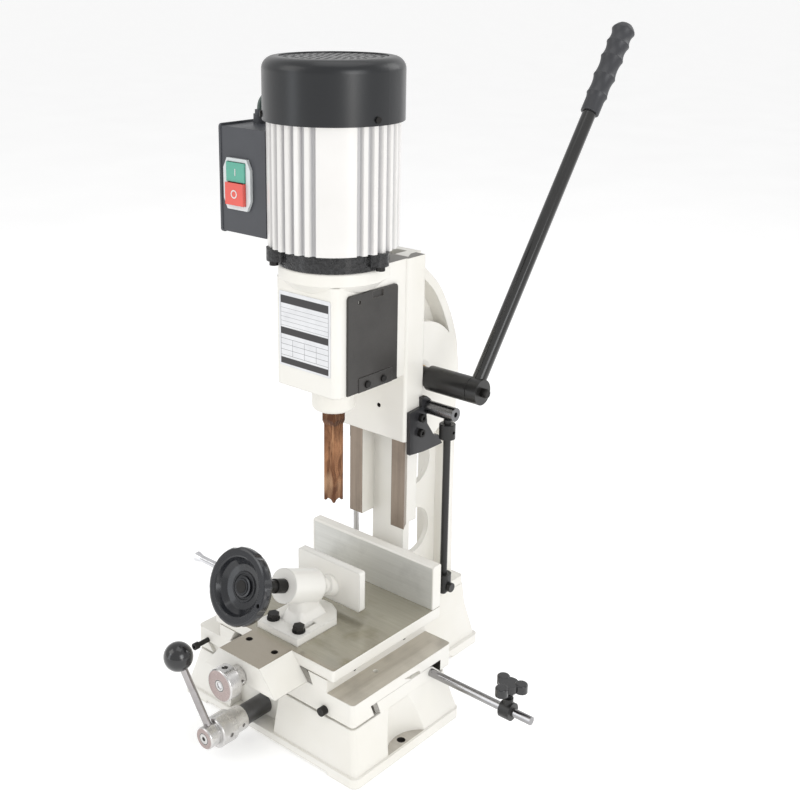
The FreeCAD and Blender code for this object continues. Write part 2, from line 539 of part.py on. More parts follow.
# name plate, door
node("data_plate", soften(box("plate", -39.7, 39.7, -48.9, -48.02, 441.9, 530.4), 2, along("Y")))
door = soften(box("door", 48.2, 51.2, -31.5, 54.3, 419.8, 534.7), 4.5, along("X", lambda p: p.z > 500))
door = soften(door, 0.8, lambda e: abs(e.CenterOfMass.x - 51.2) < 0.01 and e.CenterOfMass.z > 421)
door = cut(door, [box("door_gap", 40, 60, -14.6, 44.7, 400, 436.4)], "door_g")
door = fuse([door, cyl("door_barrel_a", "Y", 1.65, -31.5, -14.6, (49.8, 419.8)), cyl("door_barrel_b", "Y", 1.65, 44.7, 54.3, (49.8, 419.8))], "door")
door = cut(door, [cyl("door_bore", "Y", 0.86, -40, 60, (49.8, 419.8)), cyl("door_hole", "X", 2.4, 40, 60, (-12.7, 524.9)), box("door_pull", 49.6, 60, 9.5, 28, 525.4, 533.2)], "door")
node("access_door", door)
strip = soften(box("strip", 48.05, 52.2, -14.3, 44.4, 418.2, 435.9), 1.0, lambda e: abs(e.CenterOfMass.x - 52.2) < 0.01)
strip = cut(strip, [cyl("strip_bore", "Y", 0.83, -40, 60, (49.8, 419.8)), cyl("strip_h1", "X", 2.05, 40, 60, (0.1, 426)), cyl("strip_h2", "X", 2.05, 40, 60, (28, 426))], "strip")
loose("door_hinge_strip", strip)
loose("door_hinge_pin", cyl("hpin", "Y", 0.8, -31.5, 54.3, (49.8, 419.8)))
loose("door_screws", [fuse([cyl("ds", "X", 2.0, 42, 53, c), soften(cyl("dsh", "X", 4.4, 52.25, 54.9, c), 1.4, lambda e: abs(e.CenterOfMass.x - 54.9) < 0.01)], "ds")
                     for c in ((0.1, 426), (28, 426))])

# switch box
sw = soften(box("switch", -141.5, -68, -40, 20, 583.5, 707), 1.5, along("Y", lambda p: p.x < -100))
sw_side = soften(box("switch_side", -144, -140.6, -41, 20, 581.5, 709.5), 4, along("X", lambda p: p.y < 0))
sw = fuse([sw, sw_side], "switch")
sw = cut(sw, [cyl("switch_clear", "Z", 75.3, 570, 720, (0, 0)), box("switch_in", -139, -80, -36, 16, 586, 705),
              box("btn_room", -127.4, -96.6, -50, -30, 617.5, 668)], "switch")
sw = fuse([sw], "switch")
swc = common(box("sw_wall", -84, -70, -36.5, 18, 584, 707), cut(cyl("sw_ring", "Z", 79.5, 580, 710, (0, 0)), [cyl("sw_ring_in", "Z", 75.3, 570, 720, (0, 0))], "swr"), "swc")
switch_case = fuse([sw, swc], "switch_all")
frame = prism("frame", "Y", [(-134, 660), (-128, 672), (-95, 672), (-89, 660), (-89, 624), (-95, 612), (-128, 612), (-134, 624)], -44, -40.05)
frame = cut(frame, [box("frame_in", -127.4, -96.6, -50, -35, 617.5, 668)], "frame")
node("switch_frame", frame)
gb = fuse([box("green_cap", -127.0, -97.0, -46, -38, 645.0, 667.5), box("green_stem", -117, -107, -38.1, -26, 651, 661)], "green")
node("green_button", gb)
rb = fuse([box("red_cap", -127.0, -97.0, -48.5, -38, 618.0, 644.0), box("red_stem", -117, -107, -38.1, -26, 626, 636)], "red")
node("red_button", rb)
gland = fuse([cyl("gland_nut", "Z", 8, 707.05, 718, (-124, 7)), cyl("gland_cap", "Z", 6.2, 718, 723, (-124, 7)), cyl("gland_in", "Z", 5.9, 702, 710, (-124, 7))], "gland")
switch_case = cut(switch_case, [cyl("gland_hole", "Z", 6.0, 700, 712, (-124, 7))], "switch_case")
gland = cut(gland, [cyl("gland_bore", "Z", 3.55, 700, 730, (-124, 7))], "gland")
node("switch_box", [switch_case, gland])


def tube(name, points, radius, bends):
    """A round lead: straight runs joined by tangent arcs."""
    pts = [V(*p) for p in points]
    edges, start = [], pts[0]
    length = 0.0
    for i in range(1, len(pts) - 1):
        u = (pts[i] - pts[i - 1]).normalize()
        w = (pts[i + 1] - pts[i]).normalize()
        turn = u.getAngle(w)
        back = bends[i - 1] * math.tan(turn / 2)
        p, q = pts[i] - u * back, pts[i] + w * back
        mid_dir = (w - u).normalize()
        centre = pts[i] + mid_dir * (bends[i - 1] / math.cos(turn / 2))
        edges.append(Part.LineSegment(start, p).toShape())
        edges.append(Part.Arc(p, centre - mid_dir * bends[i - 1], q).toShape())
        length += (p - start).Length + bends[i - 1] * turn
        start = q
    edges.append(Part.LineSegment(start, pts[-1]).toShape())
    length += (pts[-1] - start).Length
    wire = Part.Wire(edges)
    n = (pts[1] - pts[0]).normalize()
    ring_ = Part.Wire([Part.Circle(pts[0], n, radius).toShape()])
    solid = wire.makePipeShell([ring_], True, False)
    o = doc.addObject("Part::Feature", fresh(name))
    o.Shape = solid
    print(name, "length", round(length, 1), "volume ratio", round(solid.Volume / (math.pi * radius * radius * length), 4))
    return o


put("lead_radius", 3.5)
lead = tube("lead", [(-124, 7, 700), (-124, 7, cells["lead_rise"]), (-78.0, 7, cells["lead_rise"])], cells["lead_radius"], [17.5])
node("motor_lead", lead)

# depth stop
plate = prism("dplate", "X", [(74.5, 370), (97.7, 372), (97.4, 384), (106, 384), (114, 378), (106, 362), (108, 348.5), (122.6, 328), (130.6, 327), (139, 313), (103, 313), (75, 316)], 50.8, 55.8)
plate = fuse([plate, cyl("dplate_pad", "X", 9, 50.8, 55.8, (110, 369))], "dplate")
plate = cut(plate, [cyl("dp_a", "X", 3.05, 40, 60, (95.4, 359)), cyl("dp_b", "X", 3.05, 40, 60, (94.2, 340)), cyl("dp_c", "X", 4.0, 40, 60, (110, 369))], "dplate")
node("depth_bracket", plate)
loose("bracket_screws", [cut(fuse([cyl("bs", "X", 3.0, 40.5, 57, c), cyl("bsh", "X", 5.2, 55.85, 60.5, c)], "bs"), [cyl("bss", "X", 2.5, 58.5, 61, c)], "bs")
                        for c in ((95.4, 359), (94.2, 340))])
stand = fuse([cyl("standoff", "X", 8.4, 55.85, 97, (110, 369)), cyl("standoff_pin", "X", 3.97, 50.9, 56, (110, 369))], "standoff")
stand = cut(stand, [cyl("so_hole", "X", 3.2, 90, 98, (110, 369)), cyl("so_rod", "Z", 2.75, 355, 366, (85, 110))], "standoff")
node("depth_standoff", stand)
node("depth_rod", fuse([cyl("drod", "Z", 4.5, 129, 360.5, (85, 110)), cyl("dneck", "Z", 2.72, 360, 366, (85, 110))], "drod"))
col = cut(soften(cyl("dcollar", "Z", 10, 336.5, 355.0, (85, 110)), 1.0, lambda e: abs(e.CenterOfMass.z - 355) < 0.01), [cyl("dcollar_b", "Z", 4.56, 330, 360, (85, 110)), cyl("dcollar_s", "X", 2.2, 90, 96, (110, 345.5))], "dcollar")
node("depth_collar", col)

# gas strut body on the head
strut = cut(fuse([cyl("strut_tube", "Z", 9, 300, 480, (-60.5, 110)), box("strut_lug", -69, -52, 101, 119, 480, 496)], "strut"),
            [cyl("strut_bore", "Z", 4.06, 290, 474, (-60.5, 110)), cyl("strut_pin_hole", "X", 4.03, -75, -50, (110, 488))], "strut")
brk = fuse([box("sb_plate", -55, -50.55, 84, 120, 470, 504), cyl("sb_pin", "X", 4.0, -71, -50.6, (110, 488)), cyl("sb_head", "X", 6, -73, -69.3, (110, 488))], "sb")
strut = cut(strut, [box("lug_trim", -55.0, -50, 95, 125, 466, 500)], "strut_t")
node("gas_strut_cylinder", [strut, brk])

# lever
hub = cut(fuse([cyl("hub", "X", "hub_radius", 52, 113.6, ("lever_y", "lever_z")), cyl("hub_cap", "X", "hub_radius", 114.4, 129, ("lever_y", "lever_z")),
                cyl("hub_seam", "X", 14.6, 113, 115, ("lever_y", "lever_z"))], "hub"), [cyl("hub_in", "X", 10.02, 50, 104, ("lever_y", "lever_z")), cyl("hub_st", "X", 4.0, 104, 140, ("lever_y", "lever_z"))], "hub")
tdir = (0, math.cos(math.radians(53.8)), math.sin(math.radians(53.8)))
hub = cut(hub, [rod("hub_cross", 8.75, (117.4, 118 + 4 * tdir[1], 403 + 4 * tdir[2]), tdir, 30)], "hub_x")
node("lever_hub", hub)
loose("hub_stud", fuse([cyl("stud", "X", 3.97, 103, 131, ("lever_y", "lever_z")), soften(cyl("stud_h", "X", 5.5, 129.05, 137, ("lever_y", "lever_z")), 1.5, lambda e: abs(e.CenterOfMass.x - 137) < 0.01)], "stud"))
at = lambda d: (117.4, 118 + d * tdir[1], 403 + d * tdir[2])
node("lever_tube", rod("lever_tube", 8.7, at(4.6), tdir, 497))
grip = spun("grip", [(8.73, 380), (11.6, 380), (13.0, 384), (13.0, 388), (11.9, 392), (12.2, 405), (11.4, 408), (12.6, 411), (11.4, 414), (12.6, 417), (11.4, 420), (12.6, 423),
                     (11.4, 426), (12.6, 429), (11.4, 432), (12.6, 435), (11.4, 438), (12.2, 441), (11.8, 480), (12.6, 492), (12.4, 503), (9, 509.5), (0, 510), (0, 502), (8.73, 502)], at(0), tdir)
node("lever_grip", grip)
pts = []
tp = 36.0
for i in range(36):
    a0 = i * 10.0 + 180.0
    for da, r in ((-3.4, 33.4), (-1.25, 37.8), (1.25, 37.8), (3.4, 33.4)):
        a = math.radians(a0 + da)
        pts.append((round(118 + r * math.cos(a), 4), round(403 + r * math.sin(a), 4)))
pinion = fuse([prism("pinion", "X", pts, -9.8, 9.8), cyl("pshaft", "X", "shaft_radius", -40, 103.8, ("lever_y", "lever_z")),
               cyl("pspacer", "X", 12, 37.2, 51.5, ("lever_y", "lever_z"))], "pinion")
node("pinion_shaft", fuse([pinion, LOOSE["hub_stud"]], "pinion_all"))

# ---------------------------------------------------------------- saddle
sad = fuse([soften(box("saddle", -129, 129, -108, 70.3, "saddle_low", "saddle_ledge"), 5, along("Z")), box("saddle_up", -89.3, 89.3, -108, 70.3, 93, "saddle_top")], "saddle")
sad = cut(sad, [
    prism("groove_x", "X", [(-69.6, 60), (-77.6, 79.3), (50.3, 79.3), (50.3, 60)], -140, 140),
    prism("groove_y", "Y", [(-71.2, 94.4), (67.3, 94.4), (57.0, 115), (-59.5, 115)], -120, 80),
    cyl("oil_hole", "Z", 3.2, 88, 100, (101, -37)),
    prism("notch_v", "Y", [(-101.5, 64), (-113.6, 77), (-93.4, 76), (-98.5, 64)], -120, -104),
    prism("tri_a", "X", [(-18, 86), (6, 74.5), (12, 81), (8, 84)], 124, 140),
    cyl("lock_hole", "Y", 3.55, -120, -80, (86.4, 71.2)),
    cyl("gib_screw_hole", "Y", 3.05, -120, -77, (-112, 79)),
    cyl("yg_a", "X", 2.55, 55, 100, (-60, 101.5)), cyl("yg_b", "X", 2.55, 55, 100, (30, 101.5)),
], "saddle_cut")
loose("x_gib", prism("x_gib", "X", [(-67.6, 78.9), (-62.1, 65.1), (-68.1, 65.1), (-73.6, 78.9)], -128.5, 128.5))
loose("y_gib_right", prism("y_gib_r", "Y", [(46.2, 109.6), (56.8, 109.6), (67.0, 94.7), (59.1, 94.7)], -107.5, 69.8))
loose("y_gib_left", prism("y_gib_l", "Y", [(-46.2, 109.6), (-52.5, 109.6), (-65.4, 94.7), (-59.1, 94.7)], -96, 69.8))
loose("y_gib_screws", [cyl("ys", "X", 2.5, 64.9, 88.6, (y, 101.5)) for y in (-60, 30)])
loose("saddle_lock_screw", fuse([cyl("sls", "Y", 3.5, -112, -80.2, (86.4, 71.2)), cyl("slh", "Y", 5.2, -116, -108.1, (86.4, 71.2))], "sls"))
loose("saddle_gib_screw", cut(fuse([cyl("sgs", "Y", 3.0, -126, -79, (-112, 79)), cyl("sgh", "Y", 4.4, -131, -124.5, (-112, 79))], "sgs"), [cyl("sgk", "Y", 2.2, -132, -128, (-112, 79))], "sgs"))
rk = [(-69.5, 79.2), (-69.5, 45.8)]
m2 = 1.5
k = -12
while True:
    xc = -20 + m2 * math.pi * (k + 0.5)
    if xc + 2.4 > 29.5:
        break
    if xc - 2.4 > -69.5:
        rk += [(round(xc - 1.80, 3), 45.6), (round(xc - 0.55, 3), 42.1), (round(xc + 0.55, 3), 42.1), (round(xc + 1.80, 3), 45.6)]
    k += 1
rk += [(29.5, 45.8), (29.5, 79.2)]
node("saddle_rack", prism("saddle_rack", "Y", rk, -20.5, -5))
nut = cut(box("nut", -11.5, 11.5, -19, 9, 90, 111.6), [cyl("nut_bore", "Y", 6.06, -30, 20, (0, 103))], "nut")
node("saddle_casting", fuse([sad, nut], "saddle_all"))

# ---------------------------------------------------------------- X feed
node("x_feed_sleeve", cut(fuse([cyl("sleeve", "Y", 12.3, -139.5, -101.05, (-20, 28.5)), cyl("sleeve_in", "Y", 11.5, -101.5, -84, (-20, 28.5))], "sleeve"),
                          [cyl("sleeve_bore", "Y", 8.06, -145, -80, (-20, 28.5))], "sleeve"))
pp = []
for i in range(20):
    a0 = i * 18.0 + 90.0
    for da, r in ((-6.0, 13.0), (-1.9, 16.3), (1.9, 16.3), (6.0, 13.0)):
        a = math.radians(a0 + da)
        pp.append((round(-20 + r * math.cos(a), 4), round(28.5 + r * math.sin(a), 4)))
node("x_feed_shaft", fuse([cyl("xshaft", "Y", 8.0, -180, 18, (-20, 28.5)), prism("xpinion", "Y", pp, -22, -3.5)], "xshaft"))
ldir = V(-30.9, -22.0, 103.9)
llen = ldir.Length
lu = (ldir.x / llen, ldir.y / llen, ldir.z / llen)
xh = fuse([soften(cyl("xcollar", "Y", 15, -159, -140, (-20, 28.5)), 1.5, lambda e: isinstance(e.Curve, Part.Circle)),
           soften(cyl("xdisc", "Y", 18.6, -183, -158.9, (-20, 28.5)), 2.0, lambda e: isinstance(e.Curve, Part.Circle)),
           soften(cyl("xfront", "Y", 13.5, -198.4, -182, (-20, 28.5)), 2.5, lambda e: abs(e.CenterOfMass.y + 198.4) < 0.01)], "xh")
xh = cut(xh, [cyl("xh_bore", "Y", 8.03, -180.05, -130, (-20, 28.5)), rod("xh_socket", 4.44, (-20 + 9.6 * lu[0], -186 + 9.6 * lu[1], 28.5 + 9.6 * lu[2]), lu, 40),
              cyl("xh_set", "X", 2.5, -6, 4, (-171, 28.5)), cyl("xh_set2", "X", 2.2, -9, 4, (-149, 28.5))], "xh")
node("x_feed_hub", xh)
node("x_feed_lever", rod("xlever", 4.4, (-20 + 9.8 * lu[0], -186 + 9.8 * lu[1], 28.5 + 9.8 * lu[2]), lu, 90))
node("ball_knob", cut(ball("knob", 17, (-20 + 105.4 * lu[0], -186 + 105.4 * lu[1], 28.5 + 105.4 * lu[2]), lu), [rod("knob_bore", 4.44, (-20 + 80 * lu[0], -186 + 80 * lu[1], 28.5 + 80 * lu[2]), lu, 20.5)], "knob"))

# ---------------------------------------------------------------- X stop
node("x_stop_rod", cyl("xrod", "X", "rod_radius", 95, 272, (32, 71)))
xc = cut(fuse([cyl("xcol", "X", 10.5, 233, 247, (32, 71)), cyl("xcol_boss", "Z", 6, 71, 87, (240, 32))], "xcol"), [cyl("xcol_bore", "X", 5.04, 230, 250, (32, 71)), cyl("xcol_th", "Z", 3.05, 74, 90, (240, 32))], "xcol")
node("x_stop_collar", xc)
top_edge = lambda e: abs(e.CenterOfMass.z - 107) < 0.01
lobes = []
for a in (30, 150, 270):
    ca, sa = math.cos(math.radians(a)), math.sin(math.radians(a))
    lobes += [soften(cyl("kn_lobe", "Z", 7.4, 96.5, 107, (round(240 + 14 * ca, 4), round(32 + 14 * sa, 4))), 1.8, top_edge)]
kn = fuse([cyl("kn_hub", "Z", 11.5, 98, 106.4, (240, 32)), cone("kn_skirt", "Z", 6.8, 11.5, 92.0, 98.05, (240, 32)), cyl("kn_stud", "Z", 3.0, 76.2, 94, (240, 32))] + lobes, "kn")
node("x_stop_knob", kn)

# ---------------------------------------------------------------- table
tb = soften(box("table", -98.5, 98.5, -107, 88, "table_low", "table_top"), 3, along("Z"))
tong = prism("tongue", "Y", [(-33, 124.1), (33, 124.1), (58.4, 94.8), (-58.4, 94.8)], "tongue_front", 68)
tb = fuse([tb, tong], "table")
tb = cut(tb, [cyl("tth", "Z", 4.05, 108, 130, (x, y)) for x in (-21, 21) for y in (-123, -83)]
         + [cyl("screw_bore", "Y", 6.05, -170, -110, (0, 103)), cyl("screw_room", "Y", 8.2, -120, 83, (0, 103)), box("screw_slot", -12.5, 12.5, -115, 83, 90, 113)]
         + [cyl("fth", "Z", 3.05, 113.2, 126, (x, 80)) for x in (-70, 0, 70)], "table")
node("table_casting", tb)
fence = box("fence", -103, 98, 72.6, 87.7, 124.15, "fence_top")
fence = soften(fence, 1.8, along("X", lambda p: p.z > 170), kind="Part::Chamfer")
fence = cut(fence, [cyl("fh", "Z", 3.05, 120, 150, (x, 80)) for x in (-70, 0, 70)], "fence")
node("fence", fence)
loose("fence_screws", [cyl("fsc", "Z", 3.0, 113.3, 145, (x, 80)) for x in (-70, 0, 70)])

# clamp on the sloping screw axis
n_ = (0.0, math.cos(math.radians(21.5)), -math.sin(math.radians(21.5)))
cy, cz = -157.5, 214.1
cat = lambda d, e=0.0, x=0.0: (x, cy + d * n_[1] + e * math.sin(math.radians(21.5)), cz + d * n_[2] + e * math.cos(math.radians(21.5)))
foot_pts = [(-33, -98), (33, -98), (33, -30), (22, -18), (7, -10), (-7, -10), (-22, -18), (-33, -30)]
ft = prism("clamp_foot", "Z", foot_pts, 124.15, 133.6)
stand_ = prism("clamp_web", "X", [(-71, 133), (-33, 133), (-35, 150), (-42, 166), (-60, 178), (-71, 176)], -13, 13)
stand_ = common(stand_, soften(box("clamp_core", -13, 13, -71, -33, 130, 190), 9, along("Z")), "clamp_web_c")
flare = wedge("clamp_flare", (-16.5, 16.5), (-78, -28), 133.5, (-11.5, 11.5), (-68, -36), 149)
flare = soften(flare, 5, lambda e: isinstance(e.Curve, Part.Line) and abs(e.Curve.Direction.z) > 0.5)
boss = rod("clamp_boss", 20.5, cat(76.5), n_, 54)
br = fuse([ft, stand_, flare, boss], "clamp")
br = cut(br, [rod("clamp_journal", 7.06, cat(60), n_, 30), rod("clamp_bore", 10.06, cat(86.2), n_, 70), cyl("cbh", "Z", 4.3, 120, 140, (-21, -83)), cyl("cbh", "Z", 4.3, 120, 140, (21, -83)),
              box("cslot", 18.5, 23.5, -73, -56, 120, 140),
              cyl("cseat", "Z", 8.6, 133.6, 146, (-21, -83)), cyl("cseat", "Z", 8.6, 133.6, 146, (21, -83))], "clamp")
node("clamp_bracket", br)
hexagon = lambda x, y, r: [(round(x + r * math.cos(math.radians(60 * k)), 3), round(y + r * math.sin(math.radians(60 * k)), 3)) for k in range(6)]
loose("clamp_bolts", [fuse([cyl("cb", "Z", 4.0, 112, 136, (x, -83)), cyl("cb_flange", "Z", 8.0, 133.65, 135.4, (x, -83)), prism("cb_hex", "Z", hexagon(x, -83, 7.2), 135.3, 141.5)], "cb") for x in (-21, 21)])
node("clamp_screw", fuse([rod("cscrew", 7.0, cat(4), n_, 82), rod("ccollar", 8.5, cat(60), n_, 16.2), rod("cs_thread", 5.0, cat(85), n_, 73)], "cscrew"))
whl = spun("wheel", [(7.05, 4.5), (7.05, 18), (15, 18), (18, 15), (27, 14), (38, 12), (43.0, 9), (44.2, 5), (44.2, 0), (42.8, -2.6), (40.5, -3.2), (34.5, -3.2), (33.0, -2.2),
                     (30.5, 3), (25, 8.2), (17.5, 9.6), (16.8, 8.4), (14.6, 8.4), (14.0, 9.6), (12.4, 9.6), (11.8, 6.4), (9.6, 6.0), (9.0, 4.5)], cat(0), n_)
scallops = []
for i in range(8):
    a = math.radians(i * 45 + 22.5)
    scallops.append(rod("scallop", 13, cat(-10, 55.4 * math.cos(a), 55.4 * math.sin(a)), n_, 30))
whl = cut(whl, scallops + [rod("whole", 2.3, cat(-10, -9, 37.6), n_, 30), rod("handle_seat", 4.0, cat(3, 10, -47), (1, 0, 0), 9)], "wheel")
node("handwheel", whl)
node("wheel_handle", fuse([rod("wh", 4.0, cat(3, 10, -47), (-1, 0, 0), 22), rod("wh_in", 3.95, cat(3, 10, -47), (1, 0, 0), 8.9), rod("wh_tip", 4.0, cat(3, 10, -68), (-1, 0, 0), 8, 6.0)], "wh"))
jaw = box("jaw", -55, 47, -5, 5, 134, 186)
jaw = soften(jaw, 3, along("Y"))
jb = rod("jaw_boss", 13, cat(151.2), n_, 18)
quill = rod("jaw_quill", 10.0, cat(92), n_, 64)
jaw = fuse([jaw, quill, common(jb, box("jaw_trim", -40, 40, -60, 0, 100, 200), "jb")], "jaw")
jaw = cut(jaw, [rod("jaw_bore", 5.06, cat(90), n_, 71.5), cyl("jaw_set", "X", 2.2, 4, 20, (-25.5, 162.2))], "jaw")
node("clamp_jaw", jaw)
# Y feed
ys = fuse([cyl("ysc", "Y", 6.0, -189, 50, (0, 103))], "ysc")
node("y_feed_screw", ys)
yh = fuse([soften(cyl("yh_disc", "Y", 19.6, -190, -172, (0, 103)), 2.0, lambda e: isinstance(e.Curve, Part.Circle)), cyl("yh_col", "Y", 12.6, -173, -160, (0, 103))], "yh")
yh = cut(yh, [cyl("yh_bore", "Y", 6.03, -189.05, -150, (0, 103)), cyl("yh_front", "Y", 4.0, -195, -185, (0, 103)), cyl("yh_socket", "Z", 3.6, 113, 127, (0, -181)), cyl("yh_set", "X", 2.2, 8, 16, (-166, 103))], "yh")
node("y_feed_hub", yh)

# pieces that share a node
node("depth_guide", [fuse([LOOSE["depth_guide_arm"], LOOSE["depth_guide_block"]], "depth_guide"), LOOSE["depth_guide_screw"]])
node("gas_strut_rod", [LOOSE["gas_strut_rod"], LOOSE["strut_lower_pin"]])
node("head_fasteners", [LOOSE[k] for k in ("head_gib_screws", "chisel_lock_screw", "bracket_screws", "door_screws", "flange_screws", "cover_screws")])
node("door_hinge_strip", [LOOSE["door_hinge_strip"], LOOSE["door_hinge_pin"]])
node("saddle_gibs", [LOOSE["x_gib"], LOOSE["y_gib_right"], LOOSE["y_gib_left"]])
node("saddle_screws", [LOOSE["y_gib_screws"], LOOSE["saddle_lock_screw"], LOOSE["saddle_gib_screw"]])
node("table_screws", [LOOSE["fence_screws"], LOOSE["clamp_bolts"]])
node("rotor_shaft", [LOOSE["rotor_shaft"], LOOSE["cooling_fan"]])

# ---------------------------------------------------------------- checks and files
doc.recompute()
bad = []
for o in doc.Objects:
    if "Invalid" in o.State or "Error" in o.State:
        bad.append("%s %s" % (o.Name, o.State))
for label, o in NODES.items():
    s = o.Shape
    if s.isNull() or not s.isValid() or not s.Solids:
        bad.append("%s has no valid solid" % label)
if bad:
    raise RuntimeError("; ".join(bad[:20]))
if len(NODES) > 60:
    print("too many nodes", len(NODES))
for label, o in NODES.items():
    o.Shape.exportStep("parts/%s.step" % label)
    print("%-24s solids %2d volume %12.1f" % (label, len(o.Shape.Solids), o.Shape.Volume))
print(len(NODES), "nodes")
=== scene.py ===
import math
import bmesh
import bpy
from mathutils import Matrix, Vector


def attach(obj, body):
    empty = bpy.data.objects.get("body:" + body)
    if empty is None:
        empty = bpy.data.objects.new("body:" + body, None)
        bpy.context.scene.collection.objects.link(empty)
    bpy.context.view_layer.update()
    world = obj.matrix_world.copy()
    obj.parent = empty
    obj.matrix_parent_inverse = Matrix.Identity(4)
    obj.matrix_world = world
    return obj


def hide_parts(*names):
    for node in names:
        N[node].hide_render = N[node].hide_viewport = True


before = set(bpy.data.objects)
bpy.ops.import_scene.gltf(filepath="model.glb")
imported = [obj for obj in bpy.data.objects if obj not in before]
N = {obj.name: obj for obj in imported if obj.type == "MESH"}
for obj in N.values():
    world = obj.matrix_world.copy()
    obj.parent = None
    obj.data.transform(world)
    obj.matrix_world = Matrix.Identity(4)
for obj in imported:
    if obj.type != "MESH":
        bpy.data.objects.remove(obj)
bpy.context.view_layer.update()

# ------------------------------------------------------------------ node helpers


class Tree:
    """A small helper that builds a procedural material."""

    def __init__(self, name):
        self.mat = bpy.data.materials.new(name)
        self.mat.use_nodes = True
        self.nt = self.mat.node_tree
        self.nt.nodes.clear()
        self.out = self.nt.nodes.new("ShaderNodeOutputMaterial")
        self.b = self.nt.nodes.new("ShaderNodeBsdfPrincipled")
        self.nt.links.new(self.b.outputs[0], self.out.inputs[0])
        self.tc = self.nt.nodes.new("ShaderNodeTexCoord")
        self.pos = self.tc.outputs["Object"]

    def new(self, kind, **props):
        n = self.nt.nodes.new(kind)
        for k, v in props.items():
            setattr(n, k, v)
        return n

    def put(self, socket, value):
        if isinstance(value, bpy.types.NodeSocket):
            self.nt.links.new(value, socket)
        else:
            socket.default_value = value

    def math(self, op, a, b=0.0, clamp=False):
        n = self.new("ShaderNodeMath", operation=op, use_clamp=clamp)
        self.put(n.inputs[0], a)
        self.put(n.inputs[1], b)
        return n.outputs[0]

    def scaled(self, vec, s):
        n = self.new("ShaderNodeVectorMath", operation="MULTIPLY")
        self.put(n.inputs[0], vec)
        n.inputs[1].default_value = s
        return n.outputs[0]

    def noise(self, scale, detail=4.0, rough=0.55, vec=None, dist=0.0):
        n = self.new("ShaderNodeTexNoise")
        self.put(n.inputs["Vector"], vec or self.pos)
        n.inputs["Scale"].default_value = scale
        n.inputs["Detail"].default_value = detail
        n.inputs["Roughness"].default_value = rough
        n.inputs["Distortion"].default_value = dist
        return n.outputs["Fac"]

    def voronoi(self, scale, feature="F1", vec=None, out="Distance"):
        n = self.new("ShaderNodeTexVoronoi", feature=feature)
        self.put(n.inputs["Vector"], vec or self.pos)
        n.inputs["Scale"].default_value = scale
        return n.outputs[out]

    def span(self, value, a, b, c=0.0, d=1.0):
        n = self.new("ShaderNodeMapRange")
        self.put(n.inputs["Value"], value)
        for k, v in zip(("From Min", "From Max", "To Min", "To Max"), (a, b, c, d)):
            n.inputs[k].default_value = v
        return n.outputs["Result"]

    def mix(self, fac, a, b):
        n = self.new("ShaderNodeMix", data_type="RGBA")
        self.put(n.inputs[0], fac)
        self.put(n.inputs[6], a if isinstance(a, bpy.types.NodeSocket) else (*a, 1.0))
        self.put(n.inputs[7], b if isinstance(b, bpy.types.NodeSocket) else (*b, 1.0))
        return n.outputs[2]

    def xyz(self, vec=None):
        n = self.new("ShaderNodeSeparateXYZ")
        self.put(n.inputs[0], vec or self.pos)
        return n.outputs[0], n.outputs[1], n.outputs[2]

    def normal_xyz(self):
        n = self.new("ShaderNodeSeparateXYZ")
        self.put(n.inputs[0], self.tc.outputs["Normal"])
        return n.outputs[0], n.outputs[1], n.outputs[2]

    def band(self, value, lo, hi, soft=0.0002):
        return self.math("MULTIPLY", self.span(value, lo - soft, lo + soft), self.span(value, hi + soft, hi - soft))

    def reach(self, a, b, ca, cb):
        """Distance from (ca, cb) in a coordinate plane."""
        da, db = self.math("SUBTRACT", a, ca), self.math("SUBTRACT", b, cb)
        return self.math("SQRT", self.math("ADD", self.math("MULTIPLY", da, da), self.math("MULTIPLY", db, db)))

    def soft_edge(self, radius=0.0012, samples=4):
        n = self.new("ShaderNodeBevel", samples=samples)
        n.inputs["Radius"].default_value = radius
        return n.outputs[0]

    def bump(self, height, strength=0.2, distance=0.0005, normal=None):
        n = self.new("ShaderNodeBump")
        self.put(n.inputs["Height"], height)
        n.inputs["Strength"].default_value = strength
        n.inputs["Distance"].default_value = distance
        if normal is not None:
            self.put(n.inputs["Normal"], normal)
        return n.outputs[0]

    def edge_mask(self, bevelled):
        """1 on sharp edges, 0 on open faces."""
        geo = self.new("ShaderNodeNewGeometry")
        dot = self.new("ShaderNodeVectorMath", operation="DOT_PRODUCT")
        self.put(dot.inputs[0], bevelled)
        self.put(dot.inputs[1], geo.outputs["Normal"])
        return self.span(dot.outputs["Value"], 0.97, 0.86)

    def done(self, color=None, rough=None, normal=None, **const):
        if color is not None:
            self.put(self.b.inputs["Base Color"], color if isinstance(color, bpy.types.NodeSocket) else (*color, 1.0))
        if rough is not None:
            self.put(self.b.inputs["Roughness"], rough)
        if normal is not None:
            self.put(self.b.inputs["Normal"], normal)
        for k, v in const.items():
            self.b.inputs[k.replace("_", " ")].default_value = v
        return self.mat


